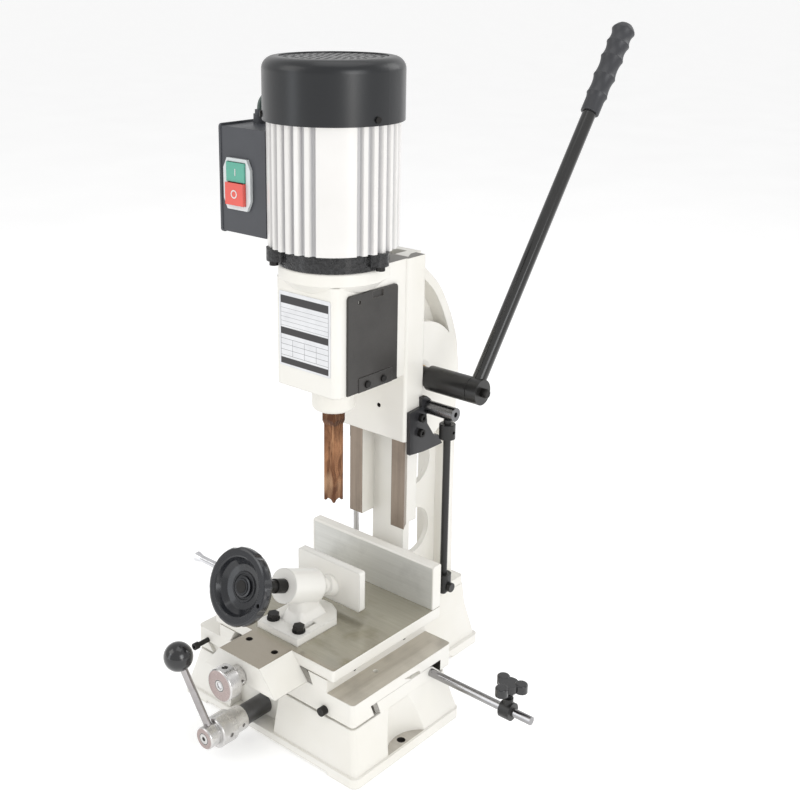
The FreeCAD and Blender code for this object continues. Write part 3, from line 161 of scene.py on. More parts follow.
def enamel(name, base, shade, rough=(0.26, 0.42), radius=0.0016, peel=0.16, coat=0.35, wear=None):
    """Sprayed paint over a fine casting: slow colour drift, orange peel, softened edges."""
    t = Tree(name)
    drift = t.noise(9.0, 3.0, 0.6)
    speck = t.noise(420.0, 2.0, 0.5)
    c = t.mix(t.span(drift, 0.35, 0.7), base, shade)
    c = t.mix(t.math("MULTIPLY", t.span(speck, 0.62, 0.78), 0.10), c, [v * 0.72 for v in base])
    edge = t.soft_edge(radius)
    if wear:
        e = t.math("MULTIPLY", t.edge_mask(edge), t.span(t.noise(60.0, 4.0), 0.45, 0.7))
        c = t.mix(e, c, wear)
    n = t.bump(t.noise(750.0, 2.0, 0.5), peel, 0.00012, edge)
    n = t.bump(t.noise(38.0, 3.0, 0.5), 0.10, 0.0006, n)
    r = t.span(t.noise(24.0, 4.0, 0.6), 0.3, 0.75, rough[0], rough[1])
    return t.done(c, r, n, Coat_Weight=coat, Coat_Roughness=0.12)


def machined(name, base, dark, axis="x", metallic=0.75, rough=(0.28, 0.46), radius=0.0006, grain=1400.0):
    """Ground or milled metal with fine lines along one axis and light stains."""
    t = Tree(name)
    s = {"x": (0.02, 1.0, 1.0), "y": (1.0, 0.02, 1.0), "z": (1.0, 1.0, 0.02), "o": (1.0, 1.0, 1.0)}[axis]
    lines = t.noise(grain, 3.0, 0.6, t.scaled(t.pos, s))
    broad = t.noise(grain * 0.12, 3.0, 0.6, t.scaled(t.pos, s))
    stain = t.noise(22.0, 5.0, 0.62)
    f = t.math("ADD", t.math("MULTIPLY", lines, 0.45), t.math("MULTIPLY", broad, 0.55))
    c = t.mix(t.span(f, 0.38, 0.62), dark, base)
    c = t.mix(t.math("MULTIPLY", t.span(stain, 0.52, 0.75), 0.35), c, [v * 0.62 for v in dark])
    edge = t.soft_edge(radius)
    n = t.bump(f, 0.22, 0.00012, edge)
    r = t.span(t.math("ADD", f, t.math("MULTIPLY", stain, 0.4)), 0.4, 1.0, rough[0], rough[1])
    return t.done(c, r, n, Metallic=metallic)


def bright(name, base=(0.72, 0.72, 0.74), axis="z", rough=(0.10, 0.24), radius=0.0005):
    t = Tree(name)
    s = {"x": (1.0, 0.03, 0.03), "y": (0.03, 1.0, 0.03), "z": (0.03, 0.03, 1.0), "o": (1.0, 1.0, 1.0)}[axis]
    rings = t.noise(2600.0, 2.0, 0.5, t.scaled(t.pos, s))
    smear = t.noise(55.0, 4.0, 0.6)
    c = t.mix(t.span(smear, 0.45, 0.75), base, [v * 0.80 for v in base])
    n = t.bump(rings, 0.10, 0.00008, t.soft_edge(radius))
    r = t.span(t.math("ADD", t.math("MULTIPLY", rings, 0.4), smear), 0.45, 0.95, rough[0], rough[1])
    return t.done(c, r, n, Metallic=1.0)


def dark_paint(name, base=(0.018, 0.018, 0.020), rough=(0.20, 0.34), coat=0.5, peel=0.2, radius=0.0008, dust=0.10, metallic=0.0, coat_rough=0.10):
    t = Tree(name)
    smear = t.noise(18.0, 4.0, 0.6)
    c = t.mix(t.math("MULTIPLY", t.span(smear, 0.42, 0.75), dust * 2.0), base, [min(1.0, v * 2.6 + 0.02) for v in base])
    nx, ny, nz = t.normal_xyz()
    c = t.mix(t.math("MULTIPLY", t.span(nz, 0.55, 1.0), t.math("MULTIPLY", t.span(t.noise(90.0, 5.0, 0.7), 0.45, 0.7), dust)), c, (0.30, 0.30, 0.29))
    edge = t.soft_edge(radius)
    n = t.bump(t.noise(900.0, 2.0, 0.5), peel, 0.0001, edge)
    r = t.span(smear, 0.35, 0.7, rough[0], rough[1])
    return t.done(c, r, n, Coat_Weight=coat, Coat_Roughness=coat_rough, Metallic=metallic, Specular_IOR_Level=0.32)


def crinkle(name):
    """Black hammered paint with a coarse wrinkled skin."""
    t = Tree(name)
    cellw = t.voronoi(330.0, "SMOOTH_F1")
    fine = t.noise(700.0, 4.0, 0.6, dist=0.6)
    h = t.math("ADD", cellw, t.math("MULTIPLY", fine, 0.5))
    c = t.mix(t.span(h, 0.35, 0.9), (0.006, 0.006, 0.0065), (0.026, 0.026, 0.027))
    n = t.bump(h, 1.0, 0.0014, t.soft_edge(0.001))
    return t.done(c, t.span(h, 0.3, 0.9, 0.14, 0.30), n, Coat_Weight=0.25, Coat_Roughness=0.1, Specular_IOR_Level=0.3)


def moulded(name, base, rough=(0.34, 0.48), grain=0.25, scale=900.0, radius=0.0006, coat=0.0, spec=0.5):
    t = Tree(name)
    pebble = t.voronoi(scale, "SMOOTH_F1")
    drift = t.noise(14.0, 3.0, 0.6)
    c = t.mix(t.span(drift, 0.35, 0.7), base, [v * 0.86 for v in base])
    n = t.bump(pebble, grain, 0.0001, t.soft_edge(radius))
    r = t.span(t.noise(40.0, 3.0, 0.6), 0.3, 0.7, rough[0], rough[1])
    return t.done(c, r, n, Coat_Weight=coat, Coat_Roughness=0.05, Specular_IOR_Level=spec)


WHITE = (0.808, 0.792, 0.75)
MATS = {
    "cream": enamel("cast_enamel", WHITE, (0.765, 0.745, 0.685)),
    "cream_soft": enamel("cast_enamel_soft", WHITE, (0.80, 0.79, 0.745), rough=(0.28, 0.40), peel=0.2, radius=0.0034),
    "fence": machined("fence_ground", (0.60, 0.585, 0.54), (0.46, 0.445, 0.40), "x", metallic=0.35, rough=(0.30, 0.44), grain=900.0),
        "gib": machined("gib_ground", (0.42, 0.40, 0.37), (0.25, 0.24, 0.22), "x", metallic=0.7),
    "bright": bright("bright_steel_z"),
    "bright_x": bright("bright_steel_x", axis="x"),
    "bright_y": bright("bright_steel_y", axis="y", rough=(0.16, 0.32)),
    "bright_o": bright("bright_steel_o", axis="o"),
    "black": dark_paint("black_satin", base=(0.014, 0.0135, 0.013), rough=(0.28, 0.40), coat=0.25, dust=0.02, coat_rough=0.22),
    "arm": bright("arm_steel_o", base=(0.42, 0.40, 0.40), axis="o", rough=(0.12, 0.24)),
    "steel_dark": bright("steel_dark_x", base=(0.20, 0.20, 0.205), axis="x", rough=(0.20, 0.34)),
    "sleeve": bright("sleeve_grey", base=(0.13, 0.13, 0.135), axis="y", rough=(0.30, 0.44)),
    "rod": bright("rod_chrome", base=(0.34, 0.335, 0.34), axis="x", rough=(0.10, 0.20)),
    "tube": dark_paint("tube_black", base=(0.018, 0.0175, 0.017), rough=(0.16, 0.24), coat=0.6, dust=0.02, coat_rough=0.07),
    "wheel": dark_paint("wheel_enamel", base=(0.013, 0.014, 0.017), rough=(0.18, 0.28), coat=0.5, dust=0.02, radius=0.0014),
    "cover": dark_paint("cover_black", base=(0.008, 0.0090, 0.0108), rough=(0.34, 0.40), coat=0.42, dust=0.0, peel=0.25, coat_rough=0.26),
    "bracket": dark_paint("bracket_black", base=(0.022, 0.022, 0.024), rough=(0.28, 0.4), coat=0.2, dust=0.03),
    "crinkle": crinkle("flange_crinkle"),
    "oxide": dark_paint("black_oxide", base=(0.03, 0.029, 0.028), rough=(0.30, 0.46), coat=0.0, metallic=0.8, dust=0.04),
    "switch": moulded("switch_case", (0.060, 0.063, 0.072), rough=(0.36, 0.46)),
    "clear": moulded("switch_bezel", (0.70, 0.73, 0.735), rough=(0.06, 0.14), grain=0.05, coat=0.5),
    "green": moulded("start_green", (0.10, 0.42, 0.31), rough=(0.14, 0.22), grain=0.05, coat=0.6),
    "red": moulded("stop_red", (0.78, 0.10, 0.075), rough=(0.14, 0.22), grain=0.05, coat=0.6),
    "rubber": moulded("grip_rubber", (0.036, 0.037, 0.042), rough=(0.36, 0.48), grain=0.4, scale=1500.0),
    "gloss": moulded("phenolic_black", (0.012, 0.012, 0.013), rough=(0.16, 0.26), grain=0.05, coat=0.45),
    "lead": moulded("lead_sheath", (0.095, 0.125, 0.115), rough=(0.4, 0.55), grain=0.2),
    "bronze": machined("bush_bronze", (0.55, 0.38, 0.16), (0.42, 0.28, 0.12), "x", metallic=0.9),
    "stack": machined("core_stack", (0.20, 0.16, 0.13), (0.11, 0.09, 0.08), "o", metallic=0.6, grain=900.0),
    "mark": moulded("mark_white", (0.80, 0.80, 0.79), rough=(0.4, 0.5), grain=0.1),
}


def chisel_finish():
    """Copper-brown drawn temper: streaks down the blade, brighter rubbed patches, dark tip."""
    t = Tree("chisel_temper")
    x, y, z = t.xyz()
    nx, ny, nz = t.normal_xyz()
    streak = t.noise(320.0, 4.0, 0.6, t.scaled(t.pos, (1.0, 1.0, 0.06)))
    cloud = t.noise(58.0, 4.0, 0.6, t.scaled(t.pos, (1.0, 1.0, 0.45)), dist=0.8)
    c = t.mix(t.span(cloud, 0.40, 0.64), (0.105, 0.042, 0.020), (0.34, 0.165, 0.082))
    c = t.mix(t.span(streak, 0.54, 0.70), c, (0.46, 0.25, 0.13))
    c = t.mix(t.math("MULTIPLY", t.span(t.noise(40.0, 2.0, 0.5, t.scaled(t.pos, (1.0, 1.0, 0.30))), 0.56, 0.72), 0.75), c, (0.66, 0.43, 0.26))
    c = t.mix(t.math("MULTIPLY", t.span(z, 0.292, 0.268), 0.45), c, (0.10, 0.045, 0.025))
    c = t.mix(t.math("MULTIPLY", t.span(z, 0.3625, 0.3690), t.span(cloud, 0.38, 0.62, 0.35, 0.95)), c, (0.055, 0.024, 0.014))
    n = t.bump(streak, 0.25, 0.0002, t.soft_edge(0.0005))
    return t.done(c, t.span(streak, 0.3, 0.7, 0.18, 0.36), n, Metallic=0.9)


def motor_finish():
    """Off-white extrusion; the flutes between the fins are painted grey as shade."""
    t = Tree("motor_enamel")
    x, y, z = t.xyz()
    rr = t.reach(x, y, 0.0, 0.0)
    drift = t.noise(9.0, 3.0, 0.6)
    c = t.mix(t.span(drift, 0.35, 0.7), (0.78, 0.765, 0.745), (0.74, 0.725, 0.70))
    # painted shade: grey darkening in the flutes between the fins, set by radius from the motor axis
    c = t.mix(t.math("MULTIPLY", t.span(rr, 0.0746, 0.0712), 0.8), c, (0.46, 0.457, 0.467))
    edge = t.soft_edge(0.0009)
    n = t.bump(t.noise(750.0, 2.0, 0.5), 0.12, 0.00012, edge)
    return t.done(c, t.span(t.noise(24.0, 4.0, 0.6), 0.3, 0.75, 0.28, 0.40), n, Coat_Weight=0.35, Coat_Roughness=0.12)


def hub_finish(name, cx, cz, front, edge_r):
    """Satin turned hub; its front shows the shaft end, a dark ring where the shaft meets the hub, painted shade in the
    bore and a browned face.
    """
    t = Tree(name)
    x, y, z = t.xyz()
    rr = t.reach(x, z, cx, cz)
    face = t.span(y, front + 0.0008, front + 0.0004)
    rings = t.noise(2600.0, 2.0, 0.5, t.scaled(t.pos, (0.03, 1.0, 0.03)))
    smear = t.noise(55.0, 4.0, 0.6)
    c = t.mix(t.span(smear, 0.45, 0.75), (0.66, 0.65, 0.64), (0.53, 0.52, 0.51))
    brown = t.math("MULTIPLY", t.math("MULTIPLY", face, t.band(rr, 0.0072, edge_r, 0.0004)), 0.8)
    c = t.mix(brown, c, (0.36, 0.27, 0.255))
    # dark ring where the shaft meets the hub, plus painted shade inside the bore at the centre
    joint_and_bore_shade = t.math("MAXIMUM", t.band(rr, 0.0062, 0.0070), t.span(rr, 0.0028, 0.0024))
    c = t.mix(t.math("MULTIPLY", face, joint_and_bore_shade), c, (0.03, 0.028, 0.027))
    n = t.bump(rings, 0.10, 0.00008, t.soft_edge(0.0012))
    return t.done(c, t.span(t.math("ADD", t.math("MULTIPLY", rings, 0.4), smear), 0.45, 0.95, 0.20, 0.36), n, Metallic=1.0)


def plate_finish():
    """Pale foil plate: three dark bands and ruled lines, and no lettering."""
    t = Tree("data_foil")
    x, y, z = t.xyz()
    inside = t.band(x, -0.0372, 0.0372)
    dark = None
    for lo, hi in ((0.5165, 0.5258), (0.4798, 0.4880), (0.4445, 0.4520)):
        b = t.math("MULTIPLY", t.band(z, lo, hi), inside)
        dark = b if dark is None else t.math("MAXIMUM", dark, b)
    for k in range(5):
        zz = 0.5110 - k * 0.0052
        dark = t.math("MAXIMUM", dark, t.math("MULTIPLY", t.math("MULTIPLY", t.band(z, zz - 0.00018, zz + 0.00018, 0.0001), inside), 0.75))
    for k in range(4):
        zz = 0.4745 - k * 0.0066
        dark = t.math("MAXIMUM", dark, t.math("MULTIPLY", t.math("MULTIPLY", t.band(z, zz - 0.00022, zz + 0.00022, 0.0001), inside), 0.85))
    for xx in (-0.0185, 0.0, 0.0185):
        v = t.math("MULTIPLY", t.band(x, xx - 0.00022, xx + 0.00022, 0.0001), t.band(z, 0.4547, 0.4745))
        dark = t.math("MAXIMUM", dark, t.math("MULTIPLY", v, 0.85))
    side = t.math("MULTIPLY", t.math("ADD", t.band(x, -0.0372, -0.0367, 0.0001), t.band(x, 0.0367, 0.0372, 0.0001)), t.band(z, 0.4445, 0.5258))
    dark = t.math("MAXIMUM", dark, side)
    foil = t.mix(t.span(t.noise(60.0, 4.0), 0.35, 0.7), (0.74, 0.745, 0.76), (0.66, 0.665, 0.68))
    c = t.mix(dark, foil, (0.035, 0.033, 0.034))
    n = t.bump(t.noise(1600.0, 2.0), 0.08, 0.00005, t.soft_edge(0.0004))
    return t.done(c, t.span(dark, 0.0, 1.0, 0.30, 0.42), n, Metallic=0.15)


def door_finish():
    """Taupe sheet with a fine hammered skin and a painted highlight along its edges."""
    t = Tree("door_taupe")
    h = t.voronoi(700.0, "SMOOTH_F1")
    drift = t.noise(20.0, 4.0, 0.6)
    c = t.mix(t.span(drift, 0.35, 0.7), (0.045, 0.042, 0.039), (0.034, 0.032, 0.030))
    edge = t.soft_edge(0.0009)
    # painted highlight: lighter colour on the sharp edges, standing in for a lit rim
    c = t.mix(t.math("MULTIPLY", t.edge_mask(edge), 0.6), c, (0.24, 0.225, 0.205))
    n = t.bump(h, 0.35, 0.00025, edge)
    return t.done(c, t.span(drift, 0.3, 0.7, 0.32, 0.44), n, Coat_Weight=0.12, Coat_Roughness=0.18, Specular_IOR_Level=0.32)


def table_finish():
    """Cream casting whose upper face, ways and front edge are ground bare."""
    t = Tree("table_cast_and_ground")
    x, y, z = t.xyz()
    nx, ny, nz = t.normal_xyz()
    top = t.math("MULTIPLY", t.span(nz, 0.9, 0.98), t.span(z, 0.1236, 0.1239))
    lines = t.noise(2300.0, 3.0, 0.6, t.scaled(t.pos, (0.02, 1.0, 1.0)))
    broad = t.noise(160.0, 4.0, 0.6, t.scaled(t.pos, (0.06, 1.0, 1.0)))
    f = t.math("ADD", t.math("MULTIPLY", lines, 0.5), t.math("MULTIPLY", broad, 0.5))
    ground = t.mix(t.span(f, 0.30, 0.70), (0.36, 0.34, 0.275), (0.46, 0.44, 0.365))
    cloud = t.noise(17.0, 5.0, 0.62, dist=0.5)
    ground = t.mix(t.math("MULTIPLY", t.span(cloud, 0.50, 0.72), 0.65), ground, (0.25, 0.22, 0.13))
    ground = t.mix(t.math("MULTIPLY", t.span(y, -0.098, -0.108), 0.75), ground, (0.44, 0.39, 0.32))
    paint = t.mix(t.span(t.noise(9.0, 3.0), 0.35, 0.7), WHITE, (0.765, 0.745, 0.685))
    c = t.mix(top, paint, ground)
    # painted shade: dark colour inside the two tapped holes in the tongue
    for cx in (-0.021, 0.021):
        c = t.mix(t.span(t.reach(x, y, cx, -0.123), 0.0043, 0.0041), c, (0.035, 0.03, 0.026))
    edge = t.soft_edge(0.0012)
    n = t.bump(f, 0.10, 0.0001, edge)
    t.put(t.b.inputs["Metallic"], t.math("MULTIPLY", top, 0.6))
    return t.done(c, t.mix_value(top, 0.34, t.span(t.math("ADD", f, t.math("MULTIPLY", cloud, 0.6)), 0.6, 1.1, 0.15, 0.30)), n)


def mix_value(self, fac, a, b):
    n = self.new("ShaderNodeMix", data_type="FLOAT")
    self.put(n.inputs[0], fac)
    self.put(n.inputs[2], a)
    self.put(n.inputs[3], b)
    return n.outputs[0]


Tree.mix_value = mix_value


def ground_where(name, rule, base=(0.44, 0.405, 0.355), dark=(0.32, 0.29, 0.245), axis="z", metallic=0.55, rough=(0.28, 0.42), holes=()):
    """Cream casting with a ground-metal colour where rule(tree) is 1; some rules use it as painted shade on upward
    faces, and holes paint shade inside holes.
    """
    t = Tree(name)
    mask = rule(t)
    s = {"x": (0.02, 1.0, 1.0), "y": (1.0, 0.02, 1.0), "z": (1.0, 1.0, 0.02)}[axis]
    lines = t.noise(1300.0, 3.0, 0.6, t.scaled(t.pos, s))
    broad = t.noise(140.0, 4.0, 0.6, t.scaled(t.pos, s))
    f = t.math("ADD", t.math("MULTIPLY", lines, 0.4), t.math("MULTIPLY", broad, 0.6))
    ground = t.mix(t.span(f, 0.36, 0.64), dark, base)
    ground = t.mix(t.math("MULTIPLY", t.span(t.noise(30.0, 5.0, 0.6), 0.5, 0.75), 0.35), ground, [v * 0.6 for v in dark])
    paint = t.mix(t.span(t.noise(9.0, 3.0), 0.35, 0.7), WHITE, (0.765, 0.745, 0.685))
    c = t.mix(mask, paint, ground)
    # painted shade: each mask in holes darkens the inside of a hole or recess
    for h in holes:
        c = t.mix(h(t), c, (0.03, 0.026, 0.022))
    edge = t.soft_edge(0.0014)
    peel = t.noise(750.0, 2.0, 0.5)
    n = t.bump(t.mix_value(mask, peel, f), 0.16, 0.00013, edge)
    n = t.bump(t.noise(38.0, 3.0, 0.5), 0.06, 0.0005, n)
    t.put(t.b.inputs["Metallic"], t.math("MULTIPLY", mask, metallic))
    r = t.mix_value(mask, t.span(t.noise(24.0, 4.0, 0.6), 0.3, 0.75, 0.28, 0.42), t.span(f, 0.35, 0.7, rough[0], rough[1]))
    return t.done(c, r, n)


def rail_rule(t):
    x, y, z = t.xyz()
    nx, ny, nz = t.normal_xyz()
    ax = t.math("ABSOLUTE", x)
    front = t.math("MULTIPLY", t.span(ny, -0.9, -0.98), t.span(y, 0.0806, 0.0802))
    flank = t.math("MULTIPLY", t.math("MULTIPLY", t.span(ny, 0.2, 0.35), t.span(ax, 0.0355, 0.0358)), t.span(y, 0.0955, 0.0952))
    return t.math("MULTIPLY", t.math("MAXIMUM", front, flank), t.span(z, 0.2115, 0.2120))


def fence_rule(t):
    """The front face is ground inside a narrow painted rim."""
    x, y, z = t.xyz()
    nx, ny, nz = t.normal_xyz()
    return t.math("MULTIPLY", t.span(ny, -0.9, -0.98), t.math("MULTIPLY", t.band(x, -0.1012, 0.0962, 0.0003), t.band(z, 0.1200, 0.1795, 0.0003)))


def saddle_ways_and_ledge_shade_rule(t):
    """Slide tops are ground; the low ledge on the right takes the ground colour as painted shade on its upward face."""
    x, y, z = t.xyz()
    nx, ny, nz = t.normal_xyz()
    top = t.math("MULTIPLY", t.span(nz, 0.9, 0.98), t.span(z, 0.1090, 0.1094))
    # painted shade: the ledge's upward face takes the darker ground colour
    ledge = t.math("MULTIPLY", t.span(nz, 0.9, 0.98), t.math("MULTIPLY", t.band(z, 0.0915, 0.0945), t.span(x, 0.0885, 0.0890)))
    return t.math("MAXIMUM", top, ledge)


def head_top_shade_rule(t):
    """The top of the slide, behind the motor collar, takes a dark colour as painted shade on this upward face."""
    x, y, z = t.xyz()
    nx, ny, nz = t.normal_xyz()
    return t.math("MULTIPLY", t.span(nz, 0.9, 0.98), t.math("MULTIPLY", t.span(z, 0.5590, 0.5594), t.span(y, 0.0200, 0.0210)))


def niche_floor_shade_rule(t):
    """Niche floors round the two bench bolts, given a darker taupe as painted shade on these upward faces."""
    x, y, z = t.xyz()
    nx, ny, nz = t.normal_xyz()
    return t.math("MULTIPLY", t.span(nz, 0.9, 0.98), t.math("MULTIPLY", t.band(z, 0.0118, 0.0132),
                  t.math("MULTIPLY", t.span(t.reach(t.math("ABSOLUTE", x), y, 0.1665, -0.0285), 0.0413, 0.0411), t.span(t.math("ABSOLUTE", x), 0.1424, 0.1420))))


def side_hole_shade(t):
    """Painted shade inside the small plain hole in the slide's front."""
    x, y, z = t.xyz()
    return t.math("MULTIPLY", t.span(t.reach(x, z, 0.0095, 0.3704), 0.0029, 0.0027), t.band(y, 0.0600, 0.0770))


def bolt_hole_shade(t):
    """Painted shade inside the bench-bolt holes."""
    x, y, z = t.xyz()
    return t.span(t.reach(t.math("ABSOLUTE", x), y, 0.1344, -0.029), 0.00525, 0.00505)


def notch_shade(t):
    """Painted shade on the inner faces at the open end of the saddle's X ways."""
    x, y, z = t.xyz()
    nx, ny, nz = t.normal_xyz()
    inner = t.math("MULTIPLY", t.span(t.math("ABSOLUTE", nx), 0.7, 0.6), t.span(x, 0.0900, 0.0905))
    return t.math("MULTIPLY", inner, t.math("MULTIPLY", t.band(y, 0.0190, 0.0560), t.band(z, 0.0600, 0.0880)))


MATS["motor"] = motor_finish()
MATS["x_hub"] = hub_finish("x_hub_satin", -0.020, 0.0285, -0.1984, 0.0122)
MATS["y_hub"] = hub_finish("y_hub_satin", 0.0, 0.103, -0.190, 0.0182)
MATS["chisel"] = chisel_finish()
MATS["plate"] = plate_finish()
MATS["door"] = door_finish()
MATS["table"] = table_finish()
MATS["column"] = ground_where("column_cast_and_ways", rail_rule, base=(0.31, 0.25, 0.20), dark=(0.22, 0.175, 0.135))
# painted shade: dark colour on the head's upward top face and inside its side hole
MATS["head"] = ground_where("head_cast_and_top_shade", head_top_shade_rule, base=(0.20, 0.185, 0.165), dark=(0.14, 0.13, 0.115), axis="x", metallic=0.3, holes=(side_hole_shade,))
# painted shade: darker taupe on the niche floors and dark inside the bench-bolt holes
MATS["base"] = ground_where("base_cast_and_niche_shade", niche_floor_shade_rule, base=(0.50, 0.47, 0.42), dark=(0.42, 0.395, 0.35), axis="x", metallic=0.3, holes=(bolt_hole_shade,))
MATS["fence_all"] = ground_where("fence_cast_and_face", fence_rule, base=(0.68, 0.68, 0.65), dark=(0.60, 0.60, 0.57), axis="x", metallic=0.35, rough=(0.34, 0.44))
# painted shade: ground colour on the ledge, and dark inside the open end of the X ways
MATS["saddle"] = ground_where("saddle_cast_ways_and_ledge_shade", saddle_ways_and_ledge_shade_rule, base=(0.58, 0.545, 0.475), dark=(0.50, 0.465, 0.40), axis="y", holes=(notch_shade,))

USE = {
    "base_casting": "base", "column_casting": "column", "head_casting": "head", "saddle_casting": "saddle", "table_casting": "table",
    "clamp_bracket": "cream_soft", "clamp_jaw": "cream_soft", "fence": "fence_all", "motor_body": "motor", "motor_flange": "crinkle",
    "fan_cover": "cover", "column_bolts": "oxide", "lever_shaft_bushes": "bronze", "depth_guide": "black", "gas_strut_rod": "bright",
    "x_feed_sleeve": "sleeve", "x_stop_rod": "rod", "head_gib": "gib", "head_rack": "oxide", "head_fasteners": "oxide",
    "stator_core": "stack", "motor_bearings": "bright", "hollow_chisel": "chisel", "chisel_bush": "oxide", "data_plate": "plate",
    "door_hinge_strip": "door", "access_door": "door", "switch_box": "switch", "switch_frame": "clear", "motor_lead": "lead",
    "depth_bracket": "bracket", "depth_standoff": "steel_dark", "depth_rod": "black", "gas_strut_cylinder": "black",
    "rotor_shaft": "stack", "chuck": "oxide", "auger_bit": "chisel", "green_button": "green", "red_button": "red", "depth_collar": "black",
    "lever_hub": "black", "lever_tube": "tube", "lever_grip": "rubber", "pinion_shaft": "oxide", "saddle_gibs": "gib",
    "saddle_screws": "oxide", "saddle_rack": "oxide", "x_feed_shaft": "bright_y", "x_feed_hub": "x_hub", "x_feed_lever": "arm",
    "ball_knob": "gloss", "table_screws": "oxide", "y_feed_screw": "bright_y", "y_feed_hub": "y_hub", "clamp_screw": "oxide",
    "handwheel": "wheel", "wheel_handle": "bright_x", "x_stop_collar": "black", "x_stop_knob": "gloss",
}
for name, o in N.items():
    o.data.materials.clear()
    o.data.materials.append(MATS[USE[name]])


# ------------------------------------------------------------------ mesh pieces
def finish_mesh(name, bm, mat, body, smooth=40.0, subdiv=0):
    me = bpy.data.meshes.new(name)
    bmesh.ops.recalc_face_normals(bm, faces=bm.faces[:])
    bm.to_mesh(me)
    bm.free()
    o = bpy.data.objects.new(name, me)
    bpy.context.scene.collection.objects.link(o)
    me.materials.append(MATS[mat])
    for p in me.polygons:
        p.use_smooth = True
    if subdiv:
        m = o.modifiers.new("round", "SUBSURF")
        m.levels = m.render_levels = subdiv
    elif smooth:
        me.set_sharp_from_angle(angle=math.radians(smooth))
    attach(o, body)
    return o


def lathe(name, profile, at, direction, mat, body, segments=64, lobes=None, smooth=35.0, subdiv=0):
    """Revolves (radius, height) points; lobes(angle, radius) may change the radius."""
    bm = bmesh.new()
    z = Vector(direction).normalized()
    x = z.orthogonal().normalized()
    y = z.cross(x)
    rows = []
    for r, h in profile:
        if r <= 1e-9:
            rows.append([bm.verts.new(Vector(at) + z * h)])
            continue
        row = []
        for i in range(segments):
            a = 2 * math.pi * i / segments
            rr = lobes(a, r) if lobes else r
            row.append(bm.verts.new(Vector(at) + z * h + x * (rr * math.cos(a)) + y * (rr * math.sin(a))))
        rows.append(row)
    for a, b in zip(rows, rows[1:] if profile[0] != profile[-1] else rows[1:]):
        for i in range(segments):
            j = (i + 1) % segments
            if len(a) == 1 and len(b) == 1:
                continue
            if len(a) == 1:
                bm.faces.new((a[0], b[j], b[i]))
            elif len(b) == 1:
                bm.faces.new((a[i], a[j], b[0]))
            else:
                bm.faces.new((a[i], a[j], b[j], b[i]))
    bmesh.ops.remove_doubles(bm, verts=bm.verts[:], dist=1e-7)
    return finish_mesh(name, bm, mat, body, smooth, subdiv)


# moulded grip: flared rings with waists between them, inside the CAD grip's length
def grip_outline():
    rings = ((0.0134, 0.4060), (0.0141, 0.4320), (0.0144, 0.4590), (0.0147, 0.4805), (0.0149, 0.4995))
    waists = (0.0119, 0.0122, 0.0124, 0.0127)
    out = [(0.00873, 0.380), (0.0112, 0.380), (0.0117, 0.3806), (0.0117, 0.3990), (0.0120, 0.4015)]
    for k, (r, h) in enumerate(rings):
        out += [(r - 0.0003, h - 0.0008), (r, h - 0.0003), (r, h + 0.0003)]
        if k == len(rings) - 1:
            break
        out.append((r - 0.0003, h + 0.0008))
        r2, h2 = rings[k + 1]
        for i in range(1, 14):
            u = i / 7.0 - 1.0
            edge = (r if u < 0 else r2) - 0.0005
            out.append((waists[k] + (edge - waists[k]) * abs(u) ** 1.9, h + 0.0012 + (h2 - h - 0.0024) * i / 14.0))
    out += [(0.0142, 0.5018), (0.0127, 0.5040), (0.0112, 0.5061), (0.0089, 0.5084), (0.0058, 0.5096), (0.0, 0.5100)]
    return out + [(0.0, 0.502), (0.00873, 0.502), (0.00873, 0.380)]


lean = math.radians(53.8)
grip_piece = lathe("grip_moulding", grip_outline(), (0.1174, 0.118, 0.403), (0, math.cos(lean), math.sin(lean)), "rubber", "lever", segments=56)
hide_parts("lever_grip")


# switch marks: a bar on the start button and a ring on the stop button
def mark_bar(name, cx, cz, w, hgt, y0, y1):
    bm = bmesh.new()
    bmesh.ops.create_cube(bm, size=1.0, matrix=Matrix.Translation((cx, (y0 + y1) / 2, cz)) @ Matrix.Diagonal((w, abs(y1 - y0), hgt, 1.0)))
    bmesh.ops.bevel(bm, geom=bm.edges[:], offset=0.0002, segments=2, affect="EDGES")
    return finish_mesh(name, bm, "mark", "start_button")


mark_bar("start_mark", -0.112, 0.6562, 0.0016, 0.0085, -0.0459, -0.0462)
bm = bmesh.new()
seg = 40
rows = []
for r, yy in ((0.0036, -0.0484), (0.0036, -0.04875), (0.0050, -0.04875), (0.0050, -0.0484)):
    rows.append([bm.verts.new((-0.112 + r * math.cos(2 * math.pi * i / seg), yy, 0.631 + r * math.sin(2 * math.pi * i / seg))) for i in range(seg)])
for a, b in zip(rows, rows[1:] + rows[:1]):
    for i in range(seg):
        bm.faces.new((a[i], a[(i + 1) % seg], b[(i + 1) % seg], b[i]))
finish_mesh("stop_mark", bm, "mark", "stop_button")

# ------------------------------------------------------------------ floor, light, camera
bm = bmesh.new()
bmesh.ops.create_grid(bm, x_segments=2, y_segments=2, size=300.0)
me = bpy.data.meshes.new("floor")
bm.to_mesh(me)
bm.free()
floor = bpy.data.objects.new("floor", me)
floor.location = (0, 0, -0.0005)
bpy.context.scene.collection.objects.link(floor)
t = Tree("floor_pale")
fc = t.mix(t.span(t.noise(3.0, 3.0), 0.3, 0.7), (0.88, 0.88, 0.88), (0.86, 0.86, 0.86))
t.put(t.b.inputs["Emission Color"], fc)
me.materials.append(t.done(fc, 0.9, Specular_IOR_Level=0.1, Emission_Strength=0.34))

world = bpy.data.worlds.new("studio")
bpy.context.scene.world = world
world.use_nodes = True
bg = world.node_tree.nodes["Background"]
bg.inputs[0].default_value = (1.0, 1.0, 1.0, 1.0)
bg.inputs[1].default_value = 0.74


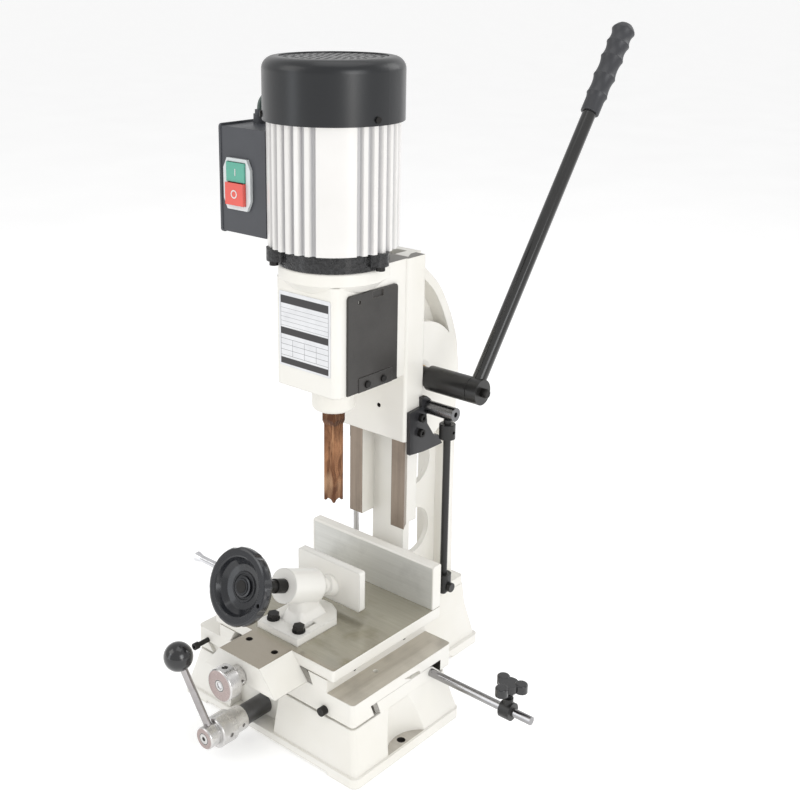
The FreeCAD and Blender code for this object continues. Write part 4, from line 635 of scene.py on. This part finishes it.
def area(name, loc, target, size, power, color=(1, 1, 1), size_y=None):
    d = bpy.data.lights.new(name, "AREA")
    d.shape = "RECTANGLE"
    d.size, d.size_y = size, size_y or size
    d.energy = power
    d.color = color
    o = bpy.data.objects.new(name, d)
    o.location = loc
    o.rotation_mode = "QUATERNION"
    o.rotation_quaternion = (Vector(target) - Vector(loc)).to_track_quat("-Z", "Y")
    o.visible_camera = False
    bpy.context.scene.collection.objects.link(o)
    return o


area("key", (-1.3, -1.9, 2.0), (0, 0, 0.4), 1.5, 11.5, (1.0, 0.988, 0.965))
area("right_fill", (2.2, -0.6, 1.2), (0, 0, 0.4), 1.2, 12.5, (0.96, 0.98, 1.0))
area("top", (0.2, 0.1, 2.6), (0, 0, 0.2), 1.6, 8)
area("left_strip", (-0.85, -1.9, 0.62), (0, 0, 0.62), 0.55, 4.0, (0.90, 0.95, 1.0), 1.5)
area("right_strip", (2.0, -0.66, 0.56), (0, 0, 0.56), 0.42, 4.5, (1.0, 0.97, 0.93), 1.5)
area("back", (0.9, 2.0, 1.6), (0, 0.1, 0.4), 1.2, 8)

cam_data = bpy.data.cameras.new("camera")
cam = bpy.data.objects.new("camera", cam_data)
bpy.context.scene.collection.objects.link(cam)
yaw, pitch, roll = math.radians(42.101), math.radians(15.584), math.radians(0.18)
fw = Vector((-math.sin(yaw) * math.cos(pitch), math.cos(yaw) * math.cos(pitch), -math.sin(pitch)))
right = fw.cross(Vector((0, 0, 1))).normalized()
up = right.cross(fw)
r2 = right * math.cos(roll) + up * math.sin(roll)
u2 = up * math.cos(roll) - right * math.sin(roll)
rot = Matrix((r2, u2, -fw)).transposed()
cam.rotation_mode = "QUATERNION"
cam.rotation_quaternion = rot.to_quaternion()
cam.location = (0.897869, -0.974622, 0.885376)
cam_data.sensor_width = 36.0
cam_data.lens = 1198.5 * 36.0 / 800.0
cam_data.shift_x = 0.069
cam_data.shift_y = -0.125
cam_data.clip_start, cam_data.clip_end = 0.05, 1000.0
bpy.context.scene.camera = cam
bpy.context.scene.view_settings.view_transform = "Standard"
bpy.context.scene.view_settings.look = "None"
